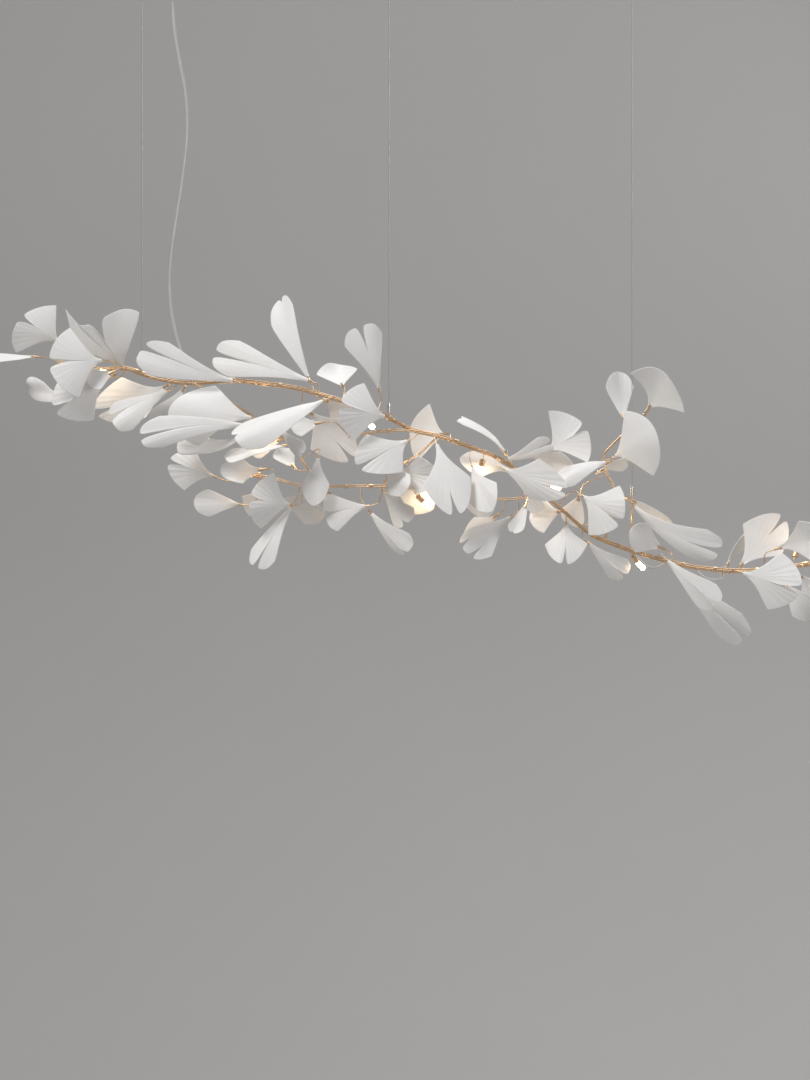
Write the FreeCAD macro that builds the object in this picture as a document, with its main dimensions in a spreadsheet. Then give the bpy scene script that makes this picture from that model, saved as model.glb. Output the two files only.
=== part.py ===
import FreeCAD
import Part

import math
import os

import Sketcher
from FreeCAD import Vector

# Branch chandelier: a spray of porcelain ginkgo leaves on bundles of brass rod,
# hung on three steel wires. Millimetres. The origin lies on the ceiling at the
# middle wire, +X runs along the branch to the right, +Y away from the viewer, +Z up.
# A place on the branch is written (station, depth, drop): the station runs along
# the branch from its left end, the depth away from the viewer, the drop down
# from the ceiling.

doc = FreeCAD.newDocument("branch_chandelier")

SIZES = [
    # hanging
    ("middle_station", 778, "station of the middle wire"),
    ("left_spacing", 494, "left wire to middle wire"),
    ("right_spacing", 486, "middle wire to right wire"),
    ("wire_diameter", 1.5, "steel suspension wire"),
    # ceiling anchors
    ("anchor_diameter", 14, "threaded base under each cap"),
    ("anchor_height", 9, "threaded base, ceiling to lower face"),
    ("anchor_bore", 4.5, "hole for the ceiling screw"),
    ("anchor_sink", 8.4, "countersink for that screw's head"),
    ("cap_wall", 2, "anchor cap, side wall"),
    ("cap_height", 20, "anchor cap, ceiling to lower face"),
    ("cap_floor", 3, "anchor cap, floor that carries the ball"),
    ("cap_hole", 3.2, "hole in that floor"),
    ("cap_flare", 5.2, "the hole's lower mouth"),
    ("cap_edge", 1, "bevel round the cap's lower face"),
    ("ball_diameter", 5.6, "ball on the wire's upper end"),
    ("ball_play", 0.3, "ball to its seat"),
    ("shank_diameter", 2.2, "sleeve below the ball"),
    ("shank_length", 7.2, "ball centre to sleeve's lower face"),
    # ceiling rose and power lead
    ("rose_station", 346, "station of the rose"),
    ("rose_diameter", 90, "cover of the rose"),
    ("rose_height", 24, "cover of the rose"),
    ("rose_wall", 1.2, "cover of the rose"),
    ("rose_round", 5, "cover's lower edge"),
    ("bracket_play", 1, "bar to the inside of the cover"),
    ("bracket_width", 16, "bar on the ceiling"),
    ("bracket_sheet", 2, "bar on the ceiling"),
    ("bracket_fold", 12, "turned-down ends of the bar"),
    ("slot_spacing", 50, "fixing slots in the bar"),
    ("slot_width", 4.5, "fixing slots in the bar"),
    ("slot_length", 10, "fixing slots in the bar"),
    ("rose_screw", 3, "side screws of the cover"),
    ("rose_screw_head", 6, "their heads"),
    ("rose_screw_drop", 8, "ceiling to their axis"),
    ("grip_diameter", 13, "cord grip under the cover"),
    ("grip_nose", 10, "the grip's lower end"),
    ("grip_collar", 4, "straight part of the grip"),
    ("grip_height", 10, "cord grip under the cover"),
    ("grip_lip", 1, "lip that the cord's sheath stops at"),
    ("core_diameter", 3, "bundle of cores inside the sheath"),
    ("block_length", 26, "terminal block"),
    ("block_width", 14, "terminal block"),
    ("block_height", 11, "terminal block"),
    ("block_bore", 3.2, "wire holes of the block"),
    ("block_pitch", 8, "wire holes of the block"),
    ("cord_diameter", 6, "power cord"),
    ("lead_diameter", 4, "short leads on the branch"),
    ("lead_gap", 0.3, "lead to the rods it lies on"),
    ("joiner_diameter", 13, "cord joiner"),
    ("joiner_length", 34, "cord joiner"),
    ("joiner_round", 2.6, "rounded ends of the joiner"),
    # wire grippers
    ("gripper_diameter", 8, "wire gripper"),
    ("gripper_height", 14, "wire gripper"),
    ("gripper_bore", 3, "way for the wire"),
    ("gripper_entry", 5, "length of wire inside the gripper"),
    ("gripper_way", 4, "narrow way below the gripper's well"),
    ("gripper_edge", 0.8, "bevel at the gripper's mouth"),
    ("release_diameter", 5.4, "release sleeve"),
    ("release_height", 7, "release sleeve"),
    ("release_stand", 4, "release sleeve above the gripper"),
    ("release_play", 0.2, "release sleeve in the gripper"),
    ("release_travel", 2.5, "how far the sleeve is pushed down"),
    ("release_spare", 0.5, "room below the pushed sleeve"),
    ("release_edge", 0.45, "bevel at the sleeve's rim"),
    ("hanger_rise", 12, "branch centre to the left and middle grippers' lower face"),
    ("right_hanger_rise", 112, "the same at the right gripper, on its long stud"),
    ("stud_diameter", 3.6, "stud between gripper and hanger ring"),
    # rods
    ("spine_rod", 2.8, "rods of the main branch"),
    ("spine_spread", 3.1, "their distance from the bundle's centre"),
    ("branch_rod", 2.2, "rods of the side branches"),
    ("branch_spread", 2.1, "their distance from the bundle's centre"),
    ("collar_wall", 1.1, "rings round the bundles"),
    ("collar_width", 7, "rings round the bundles"),
    ("collar_play", 0.2, "rings round the bundles"),
    ("stem_rod", 2, "rod of each leaf"),
    ("stem_gap", 0.3, "stem to the rod it leaves"),
    # leaves and their sockets
    ("leaf_sheet", 1.6, "porcelain thickness"),
    ("neck_width", 9, "leaf neck, laid flat"),
    ("neck_roll", 150, "degrees that the neck is rolled"),
    ("socket_seat", 0.3, "socket to the inside of the neck"),
    ("socket_inside", 7, "socket inside the neck"),
    ("socket_outside", 9, "socket below the neck"),
    ("screw_diameter", 1.8, "clamp screw of a socket"),
    ("screw_length", 4, "clamp screw of a socket"),
    # lamps
    ("holder_diameter", 12, "lampholder"),
    ("holder_length", 16, "lampholder"),
    ("bulb_recess", 3, "bulb's foot inside the lampholder"),
    ("bulb_diameter", 10, "capsule bulb"),
    ("bulb_length", 26, "capsule bulb"),
]

# Leaf forms: flare of the sides, drop of the front margin's corners, how late they
# drop, and notches (where across, how deep as a share of the length, half width).
FORMS = {
    "fan": (1.7, 0.26, 2.0, [(0.05, 0.36, 0.16)]),
    "broad": (1.5, 0.36, 2.0, [(0.0, 0.42, 0.14)]),
    "whole": (1.6, 0.26, 2.2, []),
    "twin": (1.4, 0.10, 3.0, [(0.0, 0.40, 0.30)]),
    "triple": (1.5, 0.16, 2.6, [(-0.32, 0.32, 0.22), (0.36, 0.28, 0.22)]),
    "strap": (1.2, 0.08, 3.0, [(0.15, 0.06, 0.3)]),
    "wing": (1.15, 0.08, 2.6, []),
    "spoon": (1.2, 0.18, 2.4, []),
}

# Each leaf: form, neck and tip as (station, depth, drop), full width, roll about the
# chord from facing the viewer, bend of the midrib, cup across, skew of the front
# margin, sideways sweep of the midrib and, where it isn't the form's, its notches.
LEAVES = {
    "leaves_left_tip": [
        ("strap", (68, 20, 766), (-50, 40, 776), 70, 68, -20, 20, 0, 0),
        ("fan", (116, 0, 732), (40, -40, 690), 131, 8, -25, -35, -0.17, 0),
        ("fan", (206, -40, 772), (102, -80, 782), 146, 5, -35, -30, 0, 0),
        ("fan", (212, -6, 810), (110, -20, 872), 120, -10, -30, -30, 0, 0),
        ("spoon", (140, 56, 850), (50, 90, 804), 44, 20, -30, -40, 0, -16),
        ("spoon", (224, -22, 796), (176, -36, 816), 50, 10, 20, 20, 0, 0),
    ],
    "leaves_left_upper": [
        ("wing", (244, 12, 784), (202, -40, 688), 160, 0, -20, -30, 0, 0,
         [(-.74, -.45, .3), (-.12, .42, .25)]),
        ("twin", (466, -30, 812), (284, -80, 754), 78, 10, -25, -25, -0.05, -8, [(.25, .34, .22)]),
    ],
    "leaves_left_lower": [
        ("broad", (332, 50, 822), (184, 90, 874), 110, 20, 30, 40, 0.1, 0),
        ("twin", (334, -2, 832), (226, -30, 896), 70, 10, -20, -25, 0, 0, [(.3, .3, .3)]),
        ("strap", (368, 60, 826), (302, 110, 902), 60, 30, 20, 30, 0, 0),
    ],
    "leaves_left_large": [
        ("whole", (504, -30, 886), (340, -70, 874), 140, 15, -30, -40, -0.1, 0),
        ("twin", (494, -60, 902), (286, -120, 926), 66, 10, -20, -40, 0, 8),
        ("spoon", (480, -30, 930), (356, -50, 948), 80, 55, 30, 40, 0, 0),
        ("strap", (646, -70, 852), (472, -130, 930), 84, 35, -35, -50, 0, -14),
    ],
    "leaves_top": [
        ("twin", (616, 0, 810), (428, 20, 756), 80, 15, -15, -25, 0, 0),
        ("strap", (616, 20, 802), (556, 60, 648), 60, 20, -25, -20, 0.1, -8),
        ("whole", (684, 30, 822), (666, 90, 774), 90, 20, 30, 40, 0, 0),
        ("twin", (758, -10, 826), (720, -40, 704), 84, 10, -25, -30, 0, 0),
    ],
    "leaves_centre": [
        ("fan", (770, -50, 884), (678, -90, 866), 126, 5, -30, -35, 0, 0),
        ("whole", (650, 10, 850), (700, 40, 878), 60, 20, 20, 30, 0, 0),
        ("broad", (620, 20, 874), (704, 50, 970), 100, 10, 25, 35, 0, 0),
        ("spoon", (636, -20, 898), (580, -44, 902), 50, 20, 20, 30, 0, 0),
        ("broad", (814, -30, 932), (716, -60, 986), 104, 10, -20, -25, 0.1, 0),
    ],
    "leaves_lower_left": [
        ("fan", (426, 10, 1002), (336, 0, 976), 92, 10, -25, -30, 0, 0),
        ("spoon", (476, 10, 1058), (388, -10, 1056), 58, 15, -20, -25, 0, 0),
        ("whole", (524, 0, 990), (442, -30, 990), 70, 20, 30, 40, 0, 0),
        ("strap", (570, -20, 944), (452, -50, 970), 60, 65, -20, 20, 0, 0),
        ("spoon", (560, 20, 930), (498, 50, 946), 60, 20, 20, 30, 0, 0),
        ("whole", (526, 30, 1026), (502, 60, 1084), 70, 10, 30, 40, 0, 0),
    ],
    "leaves_lower_middle": [
        ("fan", (580, -30, 1060), (500, -70, 1050), 124, -10, -25, -35, 0, 0),
        ("spoon", (550, 20, 1050), (648, 10, 1082), 80, 45, 40, 40, 0, 0),
        ("twin", (580, -16, 1066), (512, -36, 1184), 60, 20, -15, -25, 0, 0),
        ("whole", (636, -20, 966), (628, -50, 1062), 62, 10, -25, -60, 0, 0),
        ("strap", (566, -60, 916), (608, -90, 958), 40, 30, -20, -30, 0, 0),
        ("spoon", (586, 20, 984), (558, 50, 946), 50, 30, 20, 30, 0, 0),
    ],
    "leaves_lower_right": [
        ("twin", (730, 0, 1062), (650, -20, 1078), 80, 10, -20, -25, 0, 0),
        ("twin", (742, 10, 1078), (818, 0, 1152), 56, 25, -20, -30, 0, 0, [(.3, .2, .3)]),
        ("spoon", (776, -12, 982), (810, -50, 1036), 60, 20, -20, -25, 0, 0),
        ("twin", (770, 18, 1036), (816, 2, 1096), 58, 15, -15, -25, 0, 0, [(.2, .2, .3)]),
        ("whole", (790, 30, 1030), (868, 60, 1066), 70, 20, 20, 30, 0, 0),
        ("fan", (790, -10, 996), (880, -50, 1004), 84, 10, 30, 40, 0, 0),
    ],
    "leaves_middle": [
        ("whole", (888, 40, 918), (820, 90, 914), 124, 10, 30, 35, 0, 0),
        ("fan", (874, -60, 940), (914, -110, 1082), 104, -10, -20, -30, 0, 0),
        ("whole", (944, -40, 986), (980, -90, 1074), 70, 15, -20, -30, 0, 0),
        ("whole", (948, 20, 1028), (974, 60, 1086), 60, 20, 20, 30, 0, 0),
        ("whole", (1020, 40, 990), (920, 36, 966), 60, 20, -20, -30, 0, 0),
        ("strap", (1010, 20, 950), (918, 40, 886), 60, 70, -35, -20, 0, 0),
    ],
    "leaves_middle_low": [
        ("spoon", (994, 20, 1084), (930, 50, 1116), 60, 50, 20, 30, 0, 0),
        ("strap", (1052, -30, 1060), (1026, -60, 1116), 36, 20, 20, 30, 0, 0),
        ("triple", (1020, -10, 1084), (930, -40, 1154), 84, 20, -20, -30, 0, 0),
        ("strap", (1044, 16, 1014), (1080, 30, 1074), 40, 30, 20, 30, 0, 0),
    ],
    "leaves_middle_right": [
        ("twin", (1016, -20, 970), (1102, -50, 936), 44, 20, -20, -25, 0, 0),
        ("fan", (1100, 10, 950), (1170, 40, 900), 134, -5, 25, 30, 0, 0),
        ("spoon", (1064, -16, 962), (1146, -40, 984), 60, 40, 20, 30, 0, 0),
        ("broad", (1010, -40, 990), (1134, -90, 1034), 90, 15, -25, -35, 0, 0),
        ("strap", (1210, -30, 974), (1116, -70, 1012), 50, 30, -30, -40, 0, 0),
    ],
    "leaves_riser": [
        ("strap", (1200, 20, 990), (1260, 50, 972), 50, 60, 20, 30, 0, 0),
        ("whole", (1230, -2, 962), (1312, -70, 918), 150, -10, -30, -25, 0, 0),
        ("spoon", (1248, 20, 886), (1238, 50, 792), 60, 15, 25, 30, 0, 0),
        ("whole", (1298, -12, 866), (1328, -50, 800), 140, 0, 30, 35, -0.22, 0),
        ("strap", (1290, 40, 874), (1344, 80, 822), 50, 60, 20, 20, 0, 0),
    ],
    "leaves_right_centre": [
        ("fan", (1166, -60, 1044), (1240, -110, 1094), 120, 5, -30, -35, 0, 0),
        ("broad", (1132, -10, 1100), (1128, -50, 1180), 90, 5, -20, -30, 0, 0),
        ("whole", (1122, 20, 1074), (1060, 50, 1084), 80, 20, 25, 35, 0, 0),
        ("spoon", (1160, 30, 1044), (1142, 70, 1100), 60, 20, 20, 30, 0, 0),
        ("twin", (1180, 10, 1140), (1252, 30, 1202), 60, 20, -15, -25, 0, 0),
        ("spoon", (1322, 8, 1146), (1260, -12, 1114), 70, 10, 25, 40, 0, 0),
    ],
    "leaves_right_long": [
        ("twin", (1268, -30, 1064), (1436, -70, 1152), 74, 20, -20, -30, 0, 12),
        ("twin", (1334, -30, 1172), (1432, -60, 1260), 64, 15, -20, -30, 0, 0),
        ("twin", (1344, 10, 1182), (1492, 20, 1330), 70, 20, -20, -25, 0, 0),
        ("strap", (1268, 32, 1050), (1342, 62, 1106), 40, 40, 20, 30, 0, 0),
    ],
    "leaves_right": [
        ("fan", (1482, 20, 1182), (1570, 50, 1082), 104, -5, 25, 30, 0, 0),
        ("spoon", (1456, 60, 1180), (1508, 100, 1110), 60, 65, 20, 30, 0, 0),
        ("fan", (1484, -40, 1196), (1598, -90, 1226), 126, 5, -25, -30, 0, 0),
        ("whole", (1556, -10, 1146), (1656, -40, 1118), 90, 10, 25, 35, 0, 0),
        ("whole", (1600, 0, 1200), (1660, 20, 1266), 90, 20, 20, 30, 0, 0),
        ("spoon", (1570, 10, 1220), (1624, 0, 1286), 60, 20, 20, 30, 0, 0),
    ],
    "leaves_right_tip": [
        ("fan", (1700, -20, 1162), (1776, -55, 1114), 124, 5, -25, -30, 0, 0),
        ("twin", (1724, 20, 1170), (1824, 40, 1210), 76, 15, -20, -25, 0, 0),
        ("fan", (1676, 40, 1162), (1704, 75, 1074), 116, -5, 25, 30, 0, 0),
        ("broad", (1692, -10, 1182), (1736, -60, 1266), 120, 5, -25, -30, 0, 0),
        ("strap", (1784, 0, 1160), (1856, -10, 1146), 60, 25, -20, -30, 0, 0),
        ("whole", (1652, 60, 1182), (1692, 100, 1254), 90, 10, 25, 35, 0, 0),
    ],
}

# Branches: node, bundle kind and centre line as (station, depth, drop).
BRANCHES = {
    "main_branch_left": ("main_branch_left", "spine", [
        (112, 8, 774), (160, 4, 783), (206, 0, 790), (250, 0, 784), (300, 0, 804), (370, 0, 818),
        (464, 0, 810), (520, 0, 816), (600, 0, 826), (690, 0, 854), (750, 0, 870),
        (800, 0, 898)]),
    "main_branch_right": ("main_branch_right", "spine", [
        (800.5, 0, 898.3), (826, 0, 911), (880, 0, 922), (940, 0, 944), (1000, 0, 966),
        (1050, 0, 1002), (1120, 0, 1066), (1180, 0, 1120), (1240, 0, 1144), (1310, 0, 1166),
        (1380, 0, 1184), (1480, 0, 1194), (1582, 0, 1184), (1660, 0, 1170), (1760, 0, 1164)]),
    "front_branch": ("front_branch", "branch", [
        (384, -7.7, 817), (430, -9, 840), (480, -8, 866), (510, -6, 888), (550, -4, 914),
        (580, -2, 940), (612, 4, 980), (638, 6.2, 1022)]),
    "lower_branch": ("lower_branch", "branch", [
        (500, 4, 1000), (552, 2, 1008), (596, 0, 1022), (660, 0, 1024), (726, 0, 1022),
        (810, 0, 1024), (900, 0, 1038), (1000, -2, 1050), (1040, -5, 1048),
        (1080, -7.7, 1030)]),
    "cross_twig": ("twigs", "branch", [
        (878, 7.7, 922), (830, 10, 966), (786, 8, 988), (766, 6.2, 1022)]),
    "back_twig": ("twigs", "branch", [
        (868, -7.7, 919), (804, -10, 910), (752, -11, 914), (696, -12, 924)]),
    "riser_branch": ("riser_branch", "branch", [
        (1208, 7.7, 1131), (1226, 9, 1086), (1240, 9, 1046), (1214, 10, 1000), (1202, 12, 962),
        (1250, 14, 914), (1280, 14, 880)]),
}

# Rings that clamp the bundles: branch and share of its length.
COLLARS = [
    ("main_branch_left", 0.0663), ("main_branch_left", 0.2312), ("main_branch_left", 0.4390),
    ("main_branch_left", 0.6419), ("front_branch", 0.2389), ("front_branch", 0.3978),
    ("front_branch", 0.6141), ("lower_branch", 0.2220), ("lower_branch", 0.3326),
    ("lower_branch", 0.4160), ("lower_branch", 0.6520), ("lower_branch", 0.7824),
    ("main_branch_right", 0.1130), ("main_branch_right", 0.3244),
    ("main_branch_right", 0.4358), ("main_branch_right", 0.6186),
    ("main_branch_right", 0.6808), ("main_branch_right", 0.7618),
    ("main_branch_right", 0.8568), ("main_branch_right", 0.9672), ("riser_branch", 0.9220),
    ("cross_twig", 0.5570), ("back_twig", 0.5220),
]

# The branch that each wire carries.
HANGERS = {"left": "main_branch_left", "middle": "main_branch_left", "right": "main_branch_right"}

# Rods in a bundle of each kind, evenly round its centre.
RODS = {"spine": 4, "branch": 3}

# How far behind its socket a stem looks for the branch that it leaves, and where
# along its length it bends.
STEM_AIM = 26
STEM_BEND = 0.45

# Share of the shorter run that a rod's arc takes, and the least turn in degrees that
# gets an arc.
ARC_SHARE = 0.45
LEAST_TURN = 0.5

# Radius and line of each rod, filled as the branches are made.
ROD_LINES = []

# Steps by which a place on a line is narrowed down.
HALVINGS = 40

# The front margin's rounded corners (share of the length, power), the power of a
# notch's sides and the share of the length over which the rolled neck opens.
CORNER = (0.10, 9)
NOTCH_POWER = 1.5
NECK_FADE = 0.16

# Lampholders: foot of the holder and the way it points (station, depth, drop).
LAMPS = [
    ((228, 30, 800), (-0.9, 0.5, -0.3)),
    ((540, 16, 902), (-1, 0.2, 0.3)),
    ((520, 12, 1000), (-1, 0.1, -0.1)),
    ((656, 22, 1036), (0.1, 0.4, 1)),
    ((724, 16, 886), (0.6, 0.6, 0.5)),
    ((836, 14, 1042), (0.6, 0.4, 0.6)),
    ((966, 16, 968), (-0.2, 0, 0.9)),
    ((1086, 16, 1028), (1, 0.3, -0.1)),
    ((1104, 22, 1006), (0.6, 0.5, -0.6)),
    ((1180, 20, 1096), (0.8, 0.4, -0.4)),
    ((1266, 14, 1162), (0.6, 0.4, 0.7)),
    ((1590, 14, 1164), (0.3, 0.4, -1)),
    ((1724, 14, 1150), (0.8, 0.4, -0.3)),
]

# Power cord from the rose to its joiner, which lies along the back of the branch.
POWER_CORD = [
    (346, 0, 34), (346, 0, 92), (357, 1, 162), (373, 3, 240), (376, 5, 318), (367, 7, 398),
    (354, 9, 480), (342, 11, 560), (338, 13, 630), (344, 15, 688), (356, 15, 738),
    (372, 13, 782), (400, 11.3, 815.5), (436, 11.3, 812.4),
]

# Short leads along the branch: branch, station of the first seat, the points between
# (station, depth, drop) and station of the last seat.
LEADS = [
    ("main_branch_right", 1392, [(1404, 8, 1203), (1428, 10, 1211), (1450, 8, 1205)], 1460),
    ("main_branch_right", 1268, [(1282, 12, 1174), (1302, 15, 1187), (1320, 10, 1184)], 1332),
]


class Size:
    """A length that also knows its own spreadsheet expression."""

    def __init__(self, value, text):
        self.value = float(value)
        self.text = text

    def __add__(self, other):
        other = as_size(other)
        return Size(self.value + other.value, "(" + self.text + " + " + other.text + ")")

    def __sub__(self, other):
        other = as_size(other)
        return Size(self.value - other.value, "(" + self.text + " - " + other.text + ")")

    def __mul__(self, other):
        other = as_size(other)
        return Size(self.value * other.value, "(" + self.text + " * " + other.text + ")")

    def __truediv__(self, other):
        other = as_size(other)
        return Size(self.value / other.value, "(" + self.text + " / " + other.text + ")")

    def __neg__(self):
        return Size(-self.value, "(0 - " + self.text + ")")


def as_size(value):
    if isinstance(value, Size):
        return value
    return Size(value, repr(value))


def fill_sheet():
    """Put every driving dimension into the spreadsheet under its own alias."""
    sheet = doc.addObject("Spreadsheet::Sheet", "sizes")
    for row, (alias, number, meaning) in enumerate(SIZES, start=1):
        sheet.set("A%d" % row, meaning)
        sheet.set("B%d" % row, str(number))
        sheet.setAlias("B%d" % row, alias)
    doc.recompute()
    return {alias: Size(sheet.get(alias), "sizes." + alias) for alias, _, _ in SIZES}


S = fill_sheet()


def mm(alias):
    return S[alias].value


def place(spot):
    """World point of a (station, depth, drop)."""
    return Vector(spot[0] - mm("middle_station"), spot[1], -spot[2])


# ---------------------------------------------------------------- sketches and solids

def new_body(label):
    body = doc.addObject("PartDesign::Body", label)
    body.Label = label
    return body


def origin_plane(body, role):
    for feature in body.Origin.OriginFeatures:
        if feature.Role == role:
            return feature
    raise ValueError("no plane " + role)


def new_sketch(body, name, role):
    sketch = body.newObject("Sketcher::SketchObject", name)
    sketch.AttachmentSupport = [(origin_plane(body, role), "")]
    sketch.MapMode = "FlatFace"
    return sketch


def pin(sketch, edge, end, x, y):
    """Fix one end of a sketch edge at two spreadsheet expressions."""
    for kind, size, axis in (("DistanceX", as_size(x), -2), ("DistanceY", as_size(y), -1)):
        if abs(size.value) < 1e-9:
            sketch.addConstraint(Sketcher.Constraint("PointOnObject", edge, end, axis))
            continue
        index = sketch.addConstraint(Sketcher.Constraint(kind, -1, 1, edge, end, size.value))
        sketch.setExpression("Constraints[%d]" % index, size.text)


def outline(sketch, corners):
    """A closed outline of straight edges through the given corners."""
    count = len(corners)
    spots = [Vector(as_size(x).value, as_size(y).value, 0) for x, y in corners]
    for number in range(count):
        sketch.addGeometry(Part.LineSegment(spots[number], spots[(number + 1) % count]), False)
    for number in range(count):
        sketch.addConstraint(Sketcher.Constraint("Coincident", number, 2, (number + 1) % count, 1))
    for number, (x, y) in enumerate(corners):
        pin(sketch, number, 1, x, y)


def circle(sketch, x, y, radius):
    index = sketch.addGeometry(Part.Circle(Vector(as_size(x).value, as_size(y).value, 0),
                                           Vector(0, 0, 1), radius.value), False)
    pin(sketch, index, 3, x, y)
    limit = sketch.addConstraint(Sketcher.Constraint("Radius", index, radius.value))
    sketch.setExpression("Constraints[%d]" % limit, radius.text)


def revolved(label, corners, shift):
    """A turned piece: its half section in the XZ plane, spun round Z, then moved."""
    body = new_body(label)
    sketch = new_sketch(body, label + "_section", "XZ_Plane")
    outline(sketch, corners)
    spin = body.newObject("PartDesign::Revolution", label + "_turned")
    spin.Profile = sketch
    spin.ReferenceAxis = (sketch, ["V_Axis"])
    spin.Angle = 360
    sketch.Visibility = False
    move(body, shift)
    return body


def move(body, shift):
    """Bind a body's placement to three sizes."""
    x, y, z = (as_size(part) for part in shift)
    body.Placement.Base = Vector(x.value, y.value, z.value)
    body.setExpression(".Placement.Base.x", x.text)
    body.setExpression(".Placement.Base.y", y.text)
    body.setExpression(".Placement.Base.z", z.text)


def feature(label, shape):
    """A sub-part whose shape is computed from the sheet in this file's own code."""
    item = doc.addObject("Part::Feature", label)
    item.Label = label
    item.Shape = shape
    return item


def thinned(route):
    """The route without the corners that hardly turn."""
    kept = [route[0]]
    for corner, after in zip(route[1:], route[2:]):
        if (corner - kept[-1]).getAngle(after - corner) > math.radians(LEAST_TURN):
            kept.append(corner)
    return kept + [route[-1]]


def smooth_line(points):
    """Straight runs joined by tangent arcs, as a wire, with the radii of the arcs."""
    route = thinned(points)
    edges = []
    radii = []
    start = route[0]
    for before, corner, after in zip(route, route[1:], route[2:]):
        back = before - corner
        ahead = after - corner
        turn = math.pi - back.getAngle(ahead)
        reach = ARC_SHARE * min(back.Length, ahead.Length)
        radius = reach / math.tan(turn / 2)
        radii.append(radius)
        back.normalize()
        ahead.normalize()
        entry = corner + back * reach
        leave = corner + ahead * reach
        bisector = back + ahead
        bisector.normalize()
        middle = corner + bisector * (radius / math.cos(turn / 2) - radius)
        edges.append(Part.LineSegment(start, entry).toShape())
        edges.append(Part.Arc(entry, middle, leave).toShape())
        start = leave
    edges.append(Part.LineSegment(start, route[-1]).toShape())
    return Part.Wire(edges), radii


def sweep(path, diameter):
    """A round rod along a wire."""
    first = path.OrderedEdges[0]
    heading = first.tangentAt(first.FirstParameter)
    ring = Part.makeCircle(diameter / 2, first.valueAt(first.FirstParameter), heading)
    return path.makePipe(Part.Face(Part.Wire([ring])))


def meet(path, x):
    """Point and heading of a wire where it passes an X."""
    for edge in path.OrderedEdges:
        low, high = edge.ParameterRange
        if (edge.valueAt(low).x - x) * (edge.valueAt(high).x - x) > 0:
            continue
        for _ in range(HALVINGS):
            middle = (low + high) / 2
            if (edge.valueAt(low).x - x) * (edge.valueAt(middle).x - x) > 0:
                low = middle
            else:
                high = middle
        return edge.valueAt(low), edge.tangentAt(low)
    raise ValueError("the line doesn't pass there")


def part_way(path, share):
    """Point and heading of a wire at a share of its length."""
    way = path.Length * share
    for edge in path.OrderedEdges:
        if way <= edge.Length:
            break
        way -= edge.Length
    spot = edge.getParameterByLength(way)
    return edge.valueAt(spot), edge.tangentAt(spot)


# ---------------------------------------------------------------- suspension

def wire_places():
    """X of each wire from the sheet, with its name."""
    return [("left", -S["left_spacing"]), ("middle", as_size(0)), ("right", S["right_spacing"])]


def ball_drop():
    """Ceiling to ball centre: the ball rests on the edge of the hole in the cap's floor."""
    radius = mm("ball_diameter") / 2
    rise = math.sqrt(radius ** 2 - (mm("cap_hole") / 2) ** 2)
    return mm("cap_height") - mm("cap_floor") - rise - mm("ball_play")


def shank_drop():
    return ball_drop() + mm("shank_length")


def hinge_drop():
    """Ceiling to the point under the shank where the wire bends."""
    return shank_drop() + mm("wire_diameter") / 2


def make_anchor(side, x):
    """Threaded base with a countersunk hole for one ceiling screw."""
    outer = S["anchor_diameter"] / 2
    bore = S["anchor_bore"] / 2
    sink = S["anchor_sink"] / 2
    low = -S["anchor_height"]
    return revolved("ceiling_anchor_" + side, [
        (bore, as_size(0)), (outer, as_size(0)), (outer, low), (sink, low),
        (bore, low + (sink - bore))], (x, 0, 0))


def make_cap(side, x):
    """Cup that screws over the base; the ball sits on the edge of its flared hole."""
    inner = S["anchor_diameter"] / 2
    outer = inner + S["cap_wall"]
    floor = S["cap_floor"] - S["cap_height"]
    low = -S["cap_height"]
    edge = S["cap_edge"]
    return revolved("anchor_cap_" + side, [
        (inner, as_size(0)), (outer, as_size(0)), (outer, low + edge), (outer - edge, low),
        (S["cap_flare"] / 2, low), (S["cap_hole"] / 2, floor), (inner, floor)], (x, 0, 0))


def make_ball(side, x):
    """Ball and sleeve pressed on the wire's upper end."""
    centre = Vector(x.value, 0, -ball_drop())
    ball = Part.makeSphere(mm("ball_diameter") / 2, centre)
    shank = Part.makeCylinder(mm("shank_diameter") / 2, mm("shank_length"), centre, Vector(0, 0, -1))
    return feature("wire_ball_" + side, ball.fuse(shank).removeSplitter())


def make_wire(side, x, gripper_top):
    """Steel wire with a rounded upper end, so it can lean under its sleeve."""
    radius = mm("wire_diameter") / 2
    length = gripper_top + mm("gripper_entry") - hinge_drop()
    wire = doc.addObject("Part::Cylinder", "wire_length_" + side)
    wire.Radius = radius
    wire.setExpression("Radius", "sizes.wire_diameter / 2")
    wire.Height = length
    wire.Placement.Base = Vector(x.value, 0, -hinge_drop() - length)
    tip = doc.addObject("Part::Sphere", "wire_tip_" + side)
    tip.Radius = radius
    tip.setExpression("Radius", "sizes.wire_diameter / 2")
    tip.Placement.Base = Vector(x.value, 0, -hinge_drop())
    both = doc.addObject("Part::Fuse", "wire_" + side)
    both.Base = wire
    both.Tool = tip
    both.Label = "wire_" + side
    return both


def make_gripper(side, x, top):
    """Turned brass gripper: a well for the release sleeve and a way for the wire."""
    outer = S["gripper_diameter"] / 2
    bore = S["gripper_bore"] / 2
    well = S["release_diameter"] / 2 + S["release_play"]
    depth = S["release_height"] - S["release_stand"] + S["release_travel"] + S["release_spare"]
    floor = -depth - S["gripper_way"]
    low = -S["gripper_height"]
    edge = S["gripper_edge"]
    return revolved("wire_gripper_" + side, [
        (well, as_size(0)), (outer - edge, as_size(0)), (outer, -edge), (outer, low),
        (as_size(0), low), (as_size(0), floor), (bore, floor), (bore, -depth),
        (well, -depth)], (x, 0, -top))


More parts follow.
